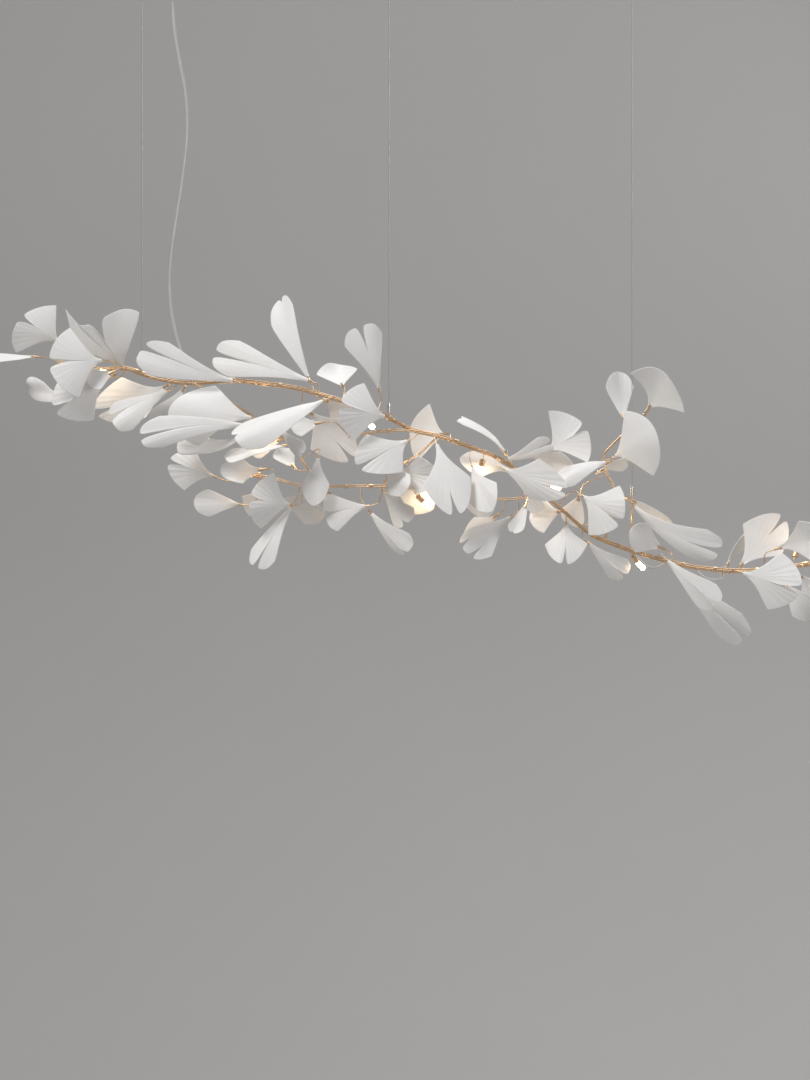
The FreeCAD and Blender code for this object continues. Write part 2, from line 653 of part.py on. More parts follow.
def make_release(side, x, top):
    """Sprung sleeve at the gripper's mouth; pushed down it lets the wire go."""
    outer = S["release_diameter"] / 2
    bore = S["gripper_bore"] / 2
    high = S["release_stand"]
    low = S["release_stand"] - S["release_height"]
    edge = S["release_edge"]
    return revolved("release_sleeve_" + side, [
        (bore, low), (outer, low), (outer, high - edge), (outer - edge, high),
        (bore, high)], (x, 0, -top))


def make_hanger(side, x, branch_drop, heading, rise):
    """Ring round the branch with the stud that the gripper is screwed on."""
    centre = Vector(x.value, 0, -branch_drop)
    outer = bundle_radius("spine") + mm("collar_play") + mm("collar_wall")
    ring = collar(centre, heading, bundle_radius("spine"))
    stud = Part.makeCylinder(mm("stud_diameter") / 2, rise, centre)
    bore = Part.makeCylinder(outer - mm("collar_wall") / 2, 4 * outer,
                             centre - heading * 2 * outer, heading)
    return feature("wire_hanger_" + side, ring.fuse(stud.cut(bore)).removeSplitter())


# ---------------------------------------------------------------- ceiling rose

def make_rose():
    x = S["rose_station"] - S["middle_station"]
    outer = S["rose_diameter"] / 2
    wall = S["rose_wall"]
    low = -S["rose_height"]
    neck = S["cord_diameter"] / 2
    rim = S["rose_round"]
    revolved("rose_cover", [
        (outer - wall, as_size(0)), (outer, as_size(0)), (outer, low + rim), (outer - rim, low),
        (neck, low), (neck, low + wall), (outer - rim - wall / 2, low + wall),
        (outer - wall, low + rim + wall / 2)], (x, 0, 0))
    grip = S["grip_diameter"] / 2
    nose = S["grip_nose"] / 2
    core = S["core_diameter"] / 2
    end = low - S["grip_height"]
    lip = end + S["grip_lip"]
    revolved("rose_cord_grip", [
        (neck, low), (grip, low), (grip, low - S["grip_collar"]), (nose, end), (core, end),
        (core, lip), (neck, lip)], (x, 0, 0))
    make_bracket(x)
    make_rose_screws(x)
    make_block(x)


def make_bracket(x):
    """Flat bar against the ceiling with two fixing slots and turned-down ends."""
    body = new_body("rose_bracket")
    half = S["rose_diameter"] / 2 - S["rose_wall"] - S["bracket_play"]
    width = S["bracket_width"] / 2
    sketch = new_sketch(body, "bracket_outline", "XY_Plane")
    outline(sketch, [(-half, -width), (half, -width), (half, width), (-half, width)])
    pad = body.newObject("PartDesign::Pad", "bracket_bar")
    pad.Profile = sketch
    pad.Reversed = True
    pad.Length = mm("bracket_sheet")
    pad.setExpression("Length", S["bracket_sheet"].text)
    for side, sign in (("left", -1), ("right", 1)):
        ear = new_sketch(body, "bracket_ear_" + side, "XY_Plane")
        inner = half - S["bracket_sheet"]
        outline(ear, [(inner * sign, -width), (half * sign, -width), (half * sign, width),
                      (inner * sign, width)])
        fold = body.newObject("PartDesign::Pad", "bracket_fold_" + side)
        fold.Profile = ear
        fold.Reversed = True
        fold.Length = mm("bracket_fold")
        fold.setExpression("Length", S["bracket_fold"].text)
        middle = S["slot_spacing"] / 2
        tall = S["slot_width"] / 2
        reach = S["slot_length"] / 2 - tall
        ends = new_sketch(body, "bracket_slot_ends_" + side, "XY_Plane")
        circle(ends, (middle - reach) * sign, as_size(0), tall)
        circle(ends, (middle + reach) * sign, as_size(0), tall)
        slot = new_sketch(body, "bracket_slot_" + side, "XY_Plane")
        outline(slot, [((middle - reach) * sign, -tall), ((middle + reach) * sign, -tall),
                       ((middle + reach) * sign, tall), ((middle - reach) * sign, tall)])
        for name, profile in (("ends", ends), ("run", slot)):
            cut = body.newObject("PartDesign::Pocket", "bracket_slot_%s_cut_%s" % (name, side))
            cut.Profile = profile
            cut.Type = "ThroughAll"
            cut.Midplane = True
    move(body, (x, 0, 0))


def make_rose_screws(x):
    """Two side screws that hold the cover on the bracket's turned-down ends."""
    screws = []
    for sign in (-1, 1):
        spot = Vector(x.value + sign * mm("rose_diameter") / 2, 0, -mm("rose_screw_drop"))
        radius = mm("rose_screw_head") / 2
        screws.append(Part.makeCylinder(radius, mm("rose_screw") / 2, spot, Vector(sign, 0, 0)))
    feature("rose_screws", Part.makeCompound(screws))


def make_block(x):
    """Three-way terminal block under the bar, with its wire holes."""
    body = new_body("terminal_block")
    sketch = new_sketch(body, "block_outline", "XY_Plane")
    long = S["block_length"] / 2
    wide = S["block_width"] / 2
    outline(sketch, [(-long, -wide), (long, -wide), (long, wide), (-long, wide)])
    pad = body.newObject("PartDesign::Pad", "block_mass")
    pad.Profile = sketch
    pad.Length = mm("block_height")
    pad.setExpression("Length", S["block_height"].text)
    holes = new_sketch(body, "block_holes", "XZ_Plane")
    for step in (-1, 0, 1):
        circle(holes, S["block_pitch"] * step, S["block_height"] / 2, S["block_bore"] / 2)
    cut = body.newObject("PartDesign::Pocket", "block_ways")
    cut.Profile = holes
    cut.Type = "ThroughAll"
    cut.Midplane = True
    move(body, (x, 0, -S["bracket_sheet"] - S["block_height"]))


# ---------------------------------------------------------------- branches

def bundle_offsets(kind):
    """Where the rods of a bundle lie round its centre, in depth and height."""
    spread = mm(kind + "_spread")
    turns = [math.radians(90 + 360 * number / RODS[kind]) for number in range(RODS[kind])]
    return [(spread * math.cos(turn), spread * math.sin(turn)) for turn in turns]


def bundle_radius(kind):
    return mm(kind + "_spread") + mm(kind + "_rod") / 2


def bundle(route, kind):
    """Lines of the rods of a branch: its route shifted in depth and square to its trend."""
    trend = route[-1] - route[0]
    beside = Vector(1, 0, 0) if abs(trend.z) > abs(trend.x) else Vector(0, 0, 1)
    lines = []
    for depth, height in bundle_offsets(kind):
        shift = Vector(0, depth, 0) + beside * height
        lines.append(smooth_line([spot + shift for spot in route])[0])
    return lines


def collar(centre, heading, inside):
    """Ring of the collar sizes round a bundle."""
    inner = inside + mm("collar_play")
    width = mm("collar_width")
    start = centre - heading * (width / 2)
    ring = Part.makeCylinder(inner + mm("collar_wall"), width, start, heading)
    return ring.cut(Part.makeCylinder(inner, width, start, heading))


def branch_line(name):
    return smooth_line([place(spot) for spot in BRANCHES[name][2]])[0]


def branch_point_at(name, station):
    """Point and heading of a branch's centre line at a station."""
    return meet(branch_line(name), station - mm("middle_station"))


def nearest_rod(spot):
    """Nearest point of any rod's line, with the line's heading and the rod's radius."""
    best = None
    corner = Part.Vertex(spot)
    for radius, line in ROD_LINES:
        gap, pairs, _ = line.distToShape(corner)
        if best is None or gap < best[0]:
            best = (gap, pairs[0][0], line, radius)
    _, foot, line, radius = best
    edge = min(line.Edges, key=lambda item: item.distToShape(Part.Vertex(foot))[0])
    return foot, edge.tangentAt(edge.Curve.parameter(foot)), radius


def make_branches():
    rods = {}
    for node, kind, points in BRANCHES.values():
        for line in bundle([place(spot) for spot in points], kind):
            rods.setdefault(node, []).append(sweep(line, mm(kind + "_rod")))
            ROD_LINES.append((mm(kind + "_rod") / 2, line))
    for node, solids in rods.items():
        feature(node, Part.makeCompound(solids))
    rings = []
    for name, share in COLLARS:
        centre, heading = part_way(branch_line(name), share)
        rings.append(collar(centre, heading, bundle_radius(BRANCHES[name][1])))
    feature("branch_collars", Part.makeCompound(rings))


# ---------------------------------------------------------------- leaves

def margin(form, across, skew, notches):
    """Share of the leaf's length at which its margin lies, across from -1 to 1."""
    _, drop, power, own = FORMS[form]
    edge = 1 - drop * abs(across) ** power - CORNER[0] * abs(across) ** CORNER[1] + skew * across
    for middle, depth, half in (own if notches is None else notches):
        edge -= depth * max(0.0, 1 - abs(across - middle) / half) ** NOTCH_POWER
    return edge


def turn_about(vector, axis, degrees):
    return FreeCAD.Rotation(axis, degrees).multVec(vector)


def leaf_frame(row):
    """Neck, unit chord, unit normal, unit side, chord length and bend in radians."""
    neck = place(row[1])
    chord = place(row[2]) - neck
    length = chord.Length
    chord.normalize()
    view = Vector(0, -1, 0)
    normal = view - chord * chord.dot(view)
    normal.normalize()
    normal = turn_about(normal, chord, row[4])
    side = chord.cross(normal)
    bend = math.radians(row[5]) or 1e-3
    return neck, chord, normal, side, length, bend


def leaf_point(row, frame, along, across, offset):
    """Point of a leaf.

    The midrib is an arc through neck and tip. Each section is an arc round the
    midrib, rolled tight at the neck and open further out. The side margin flares
    by a power of the way along, and the front margin is margin().
    """
    neck, chord, normal, side, length, bend = frame
    form, width, cup, skew, sweep = row[0], row[3], row[6], row[7], row[8]
    notches = row[9] if len(row) > 9 else None
    flare = FORMS[form][0]
    reach = along * margin(form, across, skew, notches)
    half_neck = mm("neck_width") / 2
    half = half_neck + (width / 2 - half_neck) * along ** flare
    roll = math.copysign(mm("neck_roll"), cup)
    angle = math.radians(cup * along + roll * math.exp(-(along / NECK_FADE) ** 2))
    section = 2 * half / angle
    turn = across * half / section
    beside = math.sin(turn) * (section - offset) + sweep * 4 * reach * (1 - reach)
    lift = section - math.cos(turn) * (section - offset)
    radius = length / (2 * math.sin(bend / 2))
    swing = bend * (reach - 0.5)
    centre = neck + chord * (length / 2) + normal * (radius * math.cos(bend / 2))
    arm = radius - lift
    return centre + chord * (arm * math.sin(swing)) - normal * (arm * math.cos(swing)) + side * beside


def leaf_poles(row, frame, offset):
    """Control points of one face of a leaf, closer together at its notches and neck."""
    notches = row[9] if len(row) > 9 else FORMS[row[0]][3]
    across = {-1, -0.85, -0.6, -0.3, 0, 0.3, 0.6, 0.85, 1}
    for middle, _, half in notches:
        near = (middle - half, middle - half / 3, middle, middle + half / 3, middle + half)
        across = {value for value in across if abs(value - middle) > half * 1.15}
        across |= {value for value in near if -1 < value < 1}
    along = (0, 0.04, 0.09, 0.15, 0.24, 0.38, 0.58, 0.8, 1)
    return [[leaf_point(row, frame, step, value, offset) for value in sorted(across)]
            for step in along]


def clamped(count, degree):
    """Even knots with full ends for so many poles, and their multiplicities."""
    inner = count - degree - 1
    return list(range(inner + 2)), [degree + 1] + [1] * inner + [degree + 1]


def smooth_face(poles):
    """Face of a B-spline surface on a grid of poles."""
    degree_u = min(3, len(poles) - 1)
    degree_v = min(3, len(poles[0]) - 1)
    knots_u, counts_u = clamped(len(poles), degree_u)
    knots_v, counts_v = clamped(len(poles[0]), degree_v)
    surface = Part.BSplineSurface()
    surface.buildFromPolesMultsKnots(poles, counts_u, counts_v, knots_u, knots_v,
                                     False, False, degree_u, degree_v)
    return surface.toShape()


def leaf_solid(row):
    """Porcelain sheet between two offset surfaces, closed by four narrow edge faces."""
    frame = leaf_frame(row)
    half = mm("leaf_sheet") / 2
    front = leaf_poles(row, frame, half)
    back = leaf_poles(row, frame, -half)
    faces = [smooth_face(front), smooth_face(back)]
    faces.append(smooth_face([front[0], back[0]]))
    faces.append(smooth_face([front[-1], back[-1]]))
    faces.append(smooth_face([[line[0] for line in front], [line[0] for line in back]]))
    faces.append(smooth_face([[line[-1] for line in front], [line[-1] for line in back]]))
    shell = Part.Shell(faces)
    shell.sewShape()
    solid = Part.Solid(shell)
    if solid.Volume < 0:
        solid.reverse()
    return solid


def socket_line(row):
    """Neck point on the socket's axis and the axis heading, out of the leaf."""
    neck, chord, normal, side, length, bend = leaf_frame(row)
    swing = -bend / 2
    tangent = chord * math.cos(swing) + normal * math.sin(swing)
    upright = normal * math.cos(swing) - chord * math.sin(swing)
    arc = length * swing / math.sin(swing)
    tangent = tangent * arc + side * (4 * row[8])
    tangent.normalize()
    inner = mm("neck_width") / math.radians(mm("neck_roll"))
    centre = neck + upright * math.copysign(inner, row[6])
    return centre, tangent, upright * math.copysign(1, row[6])


def socket_radius():
    return mm("neck_width") / math.radians(mm("neck_roll")) - mm("leaf_sheet") / 2 - mm("socket_seat")


def stem_route(tip, heading):
    """From the side of the nearest rod, round one gentle bend, straight to the tip."""
    near, _, _ = nearest_rod(tip + heading * STEM_AIM)
    elbow = tip + heading * (STEM_BEND * (tip - near).Length)
    foot, run, radius = nearest_rod((near + elbow) * 0.5)
    aim = elbow - foot
    slant = abs(run.dot(aim)) / aim.Length
    aside = aim - run * aim.dot(run)
    aside.normalize()
    start = foot + aside * (radius + mm("stem_gap") + slant * mm("stem_rod") / 2)
    return [start, elbow, tip]


def make_stem(tip, heading):
    line, _ = smooth_line(stem_route(tip, heading))
    return sweep(line, mm("stem_rod"))


def make_leaves():
    stems = {"left": [], "right": []}
    sockets = {"left": [], "right": []}
    screws = []
    for node, rows in LEAVES.items():
        feature(node, Part.makeCompound([leaf_solid(row) for row in rows]))
        for row in rows:
            half = "left" if row[1][0] < mm("middle_station") else "right"
            centre, tangent, upright = socket_line(row)
            radius = socket_radius()
            foot = centre - tangent * mm("socket_outside")
            length = mm("socket_outside") + mm("socket_inside")
            sockets[half].append(Part.makeCylinder(radius, length, foot, tangent))
            stems[half].append(make_stem(foot, -tangent))
            seat = centre - tangent * (mm("socket_outside") / 2) - upright * radius
            screws.append(Part.makeCylinder(mm("screw_diameter") / 2, mm("screw_length"), seat, -upright))
    for half in ("left", "right"):
        feature("leaf_stems_" + half, Part.makeCompound(stems[half]))
        feature("leaf_sockets_" + half, Part.makeCompound(sockets[half]))
    feature("socket_screws", Part.makeCompound(screws))


# ---------------------------------------------------------------- lamps and cords

def make_lamps():
    """Lampholder cups on short stems, each with a capsule bulb."""
    holders = []
    bulbs = []
    for base, aim in LAMPS:
        foot = place(base)
        heading = Vector(aim[0], aim[1], -aim[2])
        heading.normalize()
        stem = make_stem(foot, -heading)
        cup = Part.makeCylinder(mm("holder_diameter") / 2, mm("holder_length"), foot, heading)
        rim = foot + heading * (mm("holder_length") - mm("bulb_recess"))
        cup = cup.cut(Part.makeCylinder(mm("bulb_diameter") / 2, mm("bulb_recess"), rim, heading))
        holders.append(cup.fuse(stem).removeSplitter())
        bulbs.append(capsule(rim, heading))
    feature("lampholders", Part.makeCompound(holders))
    feature("bulbs", Part.makeCompound(bulbs))


def capsule(foot, heading):
    radius = mm("bulb_diameter") / 2
    straight = mm("bulb_length") - radius
    barrel = Part.makeCylinder(radius, straight, foot, heading)
    dome = Part.makeSphere(radius, foot + heading * straight)
    return barrel.fuse(dome).removeSplitter()


def lead_seat(name, station):
    """Where a lead lies in the valley behind and below a branch's two rods."""
    centre, _ = branch_point_at(name, station)
    spread = mm("spine_spread")
    apart = (mm("spine_rod") + mm("lead_diameter")) / 2 + mm("lead_gap")
    seat = (spread + math.sqrt(2 * apart ** 2 - spread ** 2)) / 2
    return centre + Vector(0, seat, -seat)


def make_cords():
    route = [place(spot) for spot in POWER_CORD]
    path, radii = smooth_line(route)
    cord = sweep(path, mm("cord_diameter"))
    area = math.pi * (mm("cord_diameter") / 2) ** 2
    ratio = cord.Volume / (area * path.Length)
    print("power cord: length %.0f mm, volume ratio %.4f" % (path.Length, ratio))
    print("power cord radii:", " ".join("%.0f" % radius for radius in radii))
    feature("power_cord", cord)
    heading = route[-1] - route[-2]
    heading.normalize()
    joiner = Part.makeCylinder(mm("joiner_diameter") / 2, mm("joiner_length"), route[-1], heading)
    rims = [edge for edge in joiner.Edges if edge.Curve.TypeId == "Part::GeomCircle"]
    feature("cord_joiner", joiner.makeFillet(mm("joiner_round"), rims))
    leads = []
    for name, first, middle, last in LEADS:
        points = [lead_seat(name, first)] + [place(spot) for spot in middle]
        path, radii = smooth_line(points + [lead_seat(name, last)])
        print("lead radii:", " ".join("%.0f" % radius for radius in radii))
        leads.append(sweep(path, mm("lead_diameter")))
    feature("lamp_leads", Part.makeCompound(leads))


# ---------------------------------------------------------------- build

def make_suspension():
    for side, x in wire_places():
        make_anchor(side, x)
        make_cap(side, x)
        make_ball(side, x)
        branch, heading = branch_point_at(HANGERS[side], x.value + mm("middle_station"))
        rise = mm("right_hanger_rise" if side == "right" else "hanger_rise")
        top = -branch.z - rise - mm("gripper_height")
        make_wire(side, x, top)
        make_gripper(side, x, as_size(top))
        make_release(side, x, as_size(top))
        make_hanger(side, x, -branch.z, heading, rise)


def sub_parts():
    """Every object that is a piece of the product, by its label."""
    parts = []
    for item in doc.Objects:
        if item.TypeId in ("PartDesign::Body", "Part::Feature", "Part::Fuse"):
            parts.append(item)
    return parts


def check_and_write():
    broken = [item.Label for item in doc.Objects
              if "Invalid" in item.State or "Error" in item.State]
    if broken:
        raise RuntimeError("failed objects: " + ", ".join(broken))
    os.makedirs("parts", exist_ok=True)
    for item in sub_parts():
        if item.Shape.isNull() or not item.Shape.isValid() or not item.Shape.Solids:
            raise RuntimeError("bad shape: " + item.Label)
    for item in sub_parts():
        item.Shape.exportStep("parts/" + item.Label + ".step")
    print(len(sub_parts()), "sub-parts written")


make_suspension()
make_rose()
make_branches()
make_leaves()
make_lamps()
make_cords()
doc.recompute()
check_and_write()
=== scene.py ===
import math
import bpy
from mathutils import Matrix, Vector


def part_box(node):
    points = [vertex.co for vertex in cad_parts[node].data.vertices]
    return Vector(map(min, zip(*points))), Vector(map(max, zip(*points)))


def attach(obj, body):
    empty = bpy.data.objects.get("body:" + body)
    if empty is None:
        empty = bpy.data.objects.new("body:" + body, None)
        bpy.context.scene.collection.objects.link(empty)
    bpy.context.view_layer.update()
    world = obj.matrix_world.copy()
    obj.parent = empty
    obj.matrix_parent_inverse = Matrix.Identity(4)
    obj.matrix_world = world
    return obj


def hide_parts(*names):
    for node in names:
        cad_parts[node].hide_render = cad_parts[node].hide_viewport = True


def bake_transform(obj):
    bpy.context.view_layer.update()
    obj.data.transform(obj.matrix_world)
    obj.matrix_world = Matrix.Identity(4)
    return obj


bl_info = {
    "name": "Branch chandelier",
    "version": (1, 0, 0),
    "blender": (4, 5, 0),
    "location": "View3D > Sidebar > Chandelier",
    "description": "Dresses the branch chandelier: porcelain leaves, brass, wires, cords and stage",
    "category": "Object",
}

import bmesh
import bpy
import numpy as np
from bpy.props import FloatProperty, FloatVectorProperty, IntProperty, PointerProperty

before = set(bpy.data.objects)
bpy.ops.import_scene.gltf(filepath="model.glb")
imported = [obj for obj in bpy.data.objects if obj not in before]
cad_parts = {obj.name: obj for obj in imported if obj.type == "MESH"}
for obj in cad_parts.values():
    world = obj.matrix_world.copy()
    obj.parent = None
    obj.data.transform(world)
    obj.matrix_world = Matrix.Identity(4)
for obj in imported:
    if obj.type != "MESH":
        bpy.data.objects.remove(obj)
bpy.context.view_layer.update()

MM = 0.001
MIDDLE_STATION = 778  # station of the middle wire, where X is zero

# Leaf shape. The neck, so wide laid flat in mm, is rolled by so many degrees and opens
# within a share of the length. The corners of the front margin fall off late, and the
# sides draw in there. Notches are wider than written by a shoulder, with round lips. The
# cup across a section is its table value times a factor.
NECK_WIDTH = 9
NECK_ROLL = 150
NECK_FADE = 0.16
CORNER_SHARE = 0.13
CORNER_POWER = 6
CORNER_DRAW = 0.10
DRAW_LEVEL = 0.8
NOTCH_POWER = 4
SHOULDER = 0.12
CUP_DEPTH = 1.5

# Leaf grid: places of rows by the rim in shares of half the sheet, places of columns by
# a notch in shares of its half width, and how rows crowd towards the neck.
RIM_STEPS = (0, 0.03, 0.12, 0.3, 0.6, 1, 2)
NOTCH_STEPS = (0.02, 0.05, 0.09, 0.14, 0.2, 0.27, 0.36, 0.48, 0.64, 0.84)
ROW_POWER = 1.15

# Leaf relief: forms with full pleats and the share that the others get, how pleats grow
# with the way along and how late they calm down at the sides, how waves grow, half waves
# across, the width in mm with full waves, and the steps of phase and tone by leaf.
PLEATED = ("fan", "broad")
FAINT_PLEATS = 0.25
PLEAT_POWER = 1.6
CALM_POWER = 6
WAVE_POWER = 3
WAVE_COUNT = 1.3
WAVED_WIDTH = 110
PHASE_STEP = 2.4
TONE_STEP = 0.618

# Bulb in mm: radius, straight part, and holder's foot to bulb's foot.
BULB_RADIUS = 5.0
BULB_STRAIGHT = 21.0
BULB_FOOT = 13.0

# Radii of power cord and leads in mm.
CORD_RADIUS = 3.0
LEAD_RADIUS = 2.0

# Wire in mm: gap below its ball's sleeve, radius along it and at its ends, points along
# it, and number, relief and winding length of its strands.
WIRE_GAP = 0.06
WIRE_RADIUS = 0.70
WIRE_END = 0.45
WIRE_POINTS = 900
STRANDS = 6
STRAND_RELIEF = 0.07
STRAND_PITCH = 9.0

# Backdrop in mm: level of the floor, place of the wall, radius of the bend between them,
# top of the wall, and reach to the front and sides.
FLOOR_LEVEL = -2600.0
WALL_PLACE = 4200.0
WALL_BEND = 1600.0
WALL_TOP = 6000.0
SHEET_REACH = 16000.0

# Surroundings: their share of the backdrop's colour, where the backdrop begins and ends
# to fade into them in metres, and colour and strength of their light.
FAR_SHADE = 0.7
FADE_START = 5.5
FADE_END = 9.5
SKY_COLOR = (0.93, 0.95, 1.0, 1.0)
SKY_STRENGTH = 0.23

# Lamps: name, place in metres, width, power in watts and colour; all aim at one spot.
STUDIO_LAMPS = (
    ("key", (-2.4, -3.2, 2.8), 2.2, 172.0, (1.0, 0.985, 0.965)),
    ("fill", (3.6, -4.2, 0.2), 3.0, 58.0, (0.97, 0.98, 1.0)),
    ("top", (0.6, 1.2, 2.8), 2.4, 76.0, (0.98, 0.99, 1.0)),
    ("rim", (2.6, 3.4, 0.2), 1.6, 44.0, (1.0, 0.97, 0.93)),
)
LAMP_AIM = (0.0, 0.0, -1.0)
CAMERA_X = 0.032

# Leaf forms: flare of the sides, drop of the front margin's corners, how late they
# drop, and notches (where across, how deep as a share of the length, half width).
FORMS = {
    "fan": (2.1, 0.36, 1.8, [(0.05, 0.36, 0.16)]),
    "broad": (1.9, 0.42, 1.8, [(0.0, 0.42, 0.14)]),
    "whole": (2.0, 0.34, 1.9, []),
    "twin": (1.45, 0.08, 3.0, [(0.0, 0.40, 0.22)]),
    "triple": (1.6, 0.16, 2.6, [(-0.32, 0.32, 0.18), (0.36, 0.28, 0.18)]),
    "strap": (1.2, 0.06, 3.0, [(0.15, 0.06, 0.3)]),
    "wing": (1.3, 0.10, 2.6, []),
    "spoon": (1.3, 0.20, 2.2, []),
}

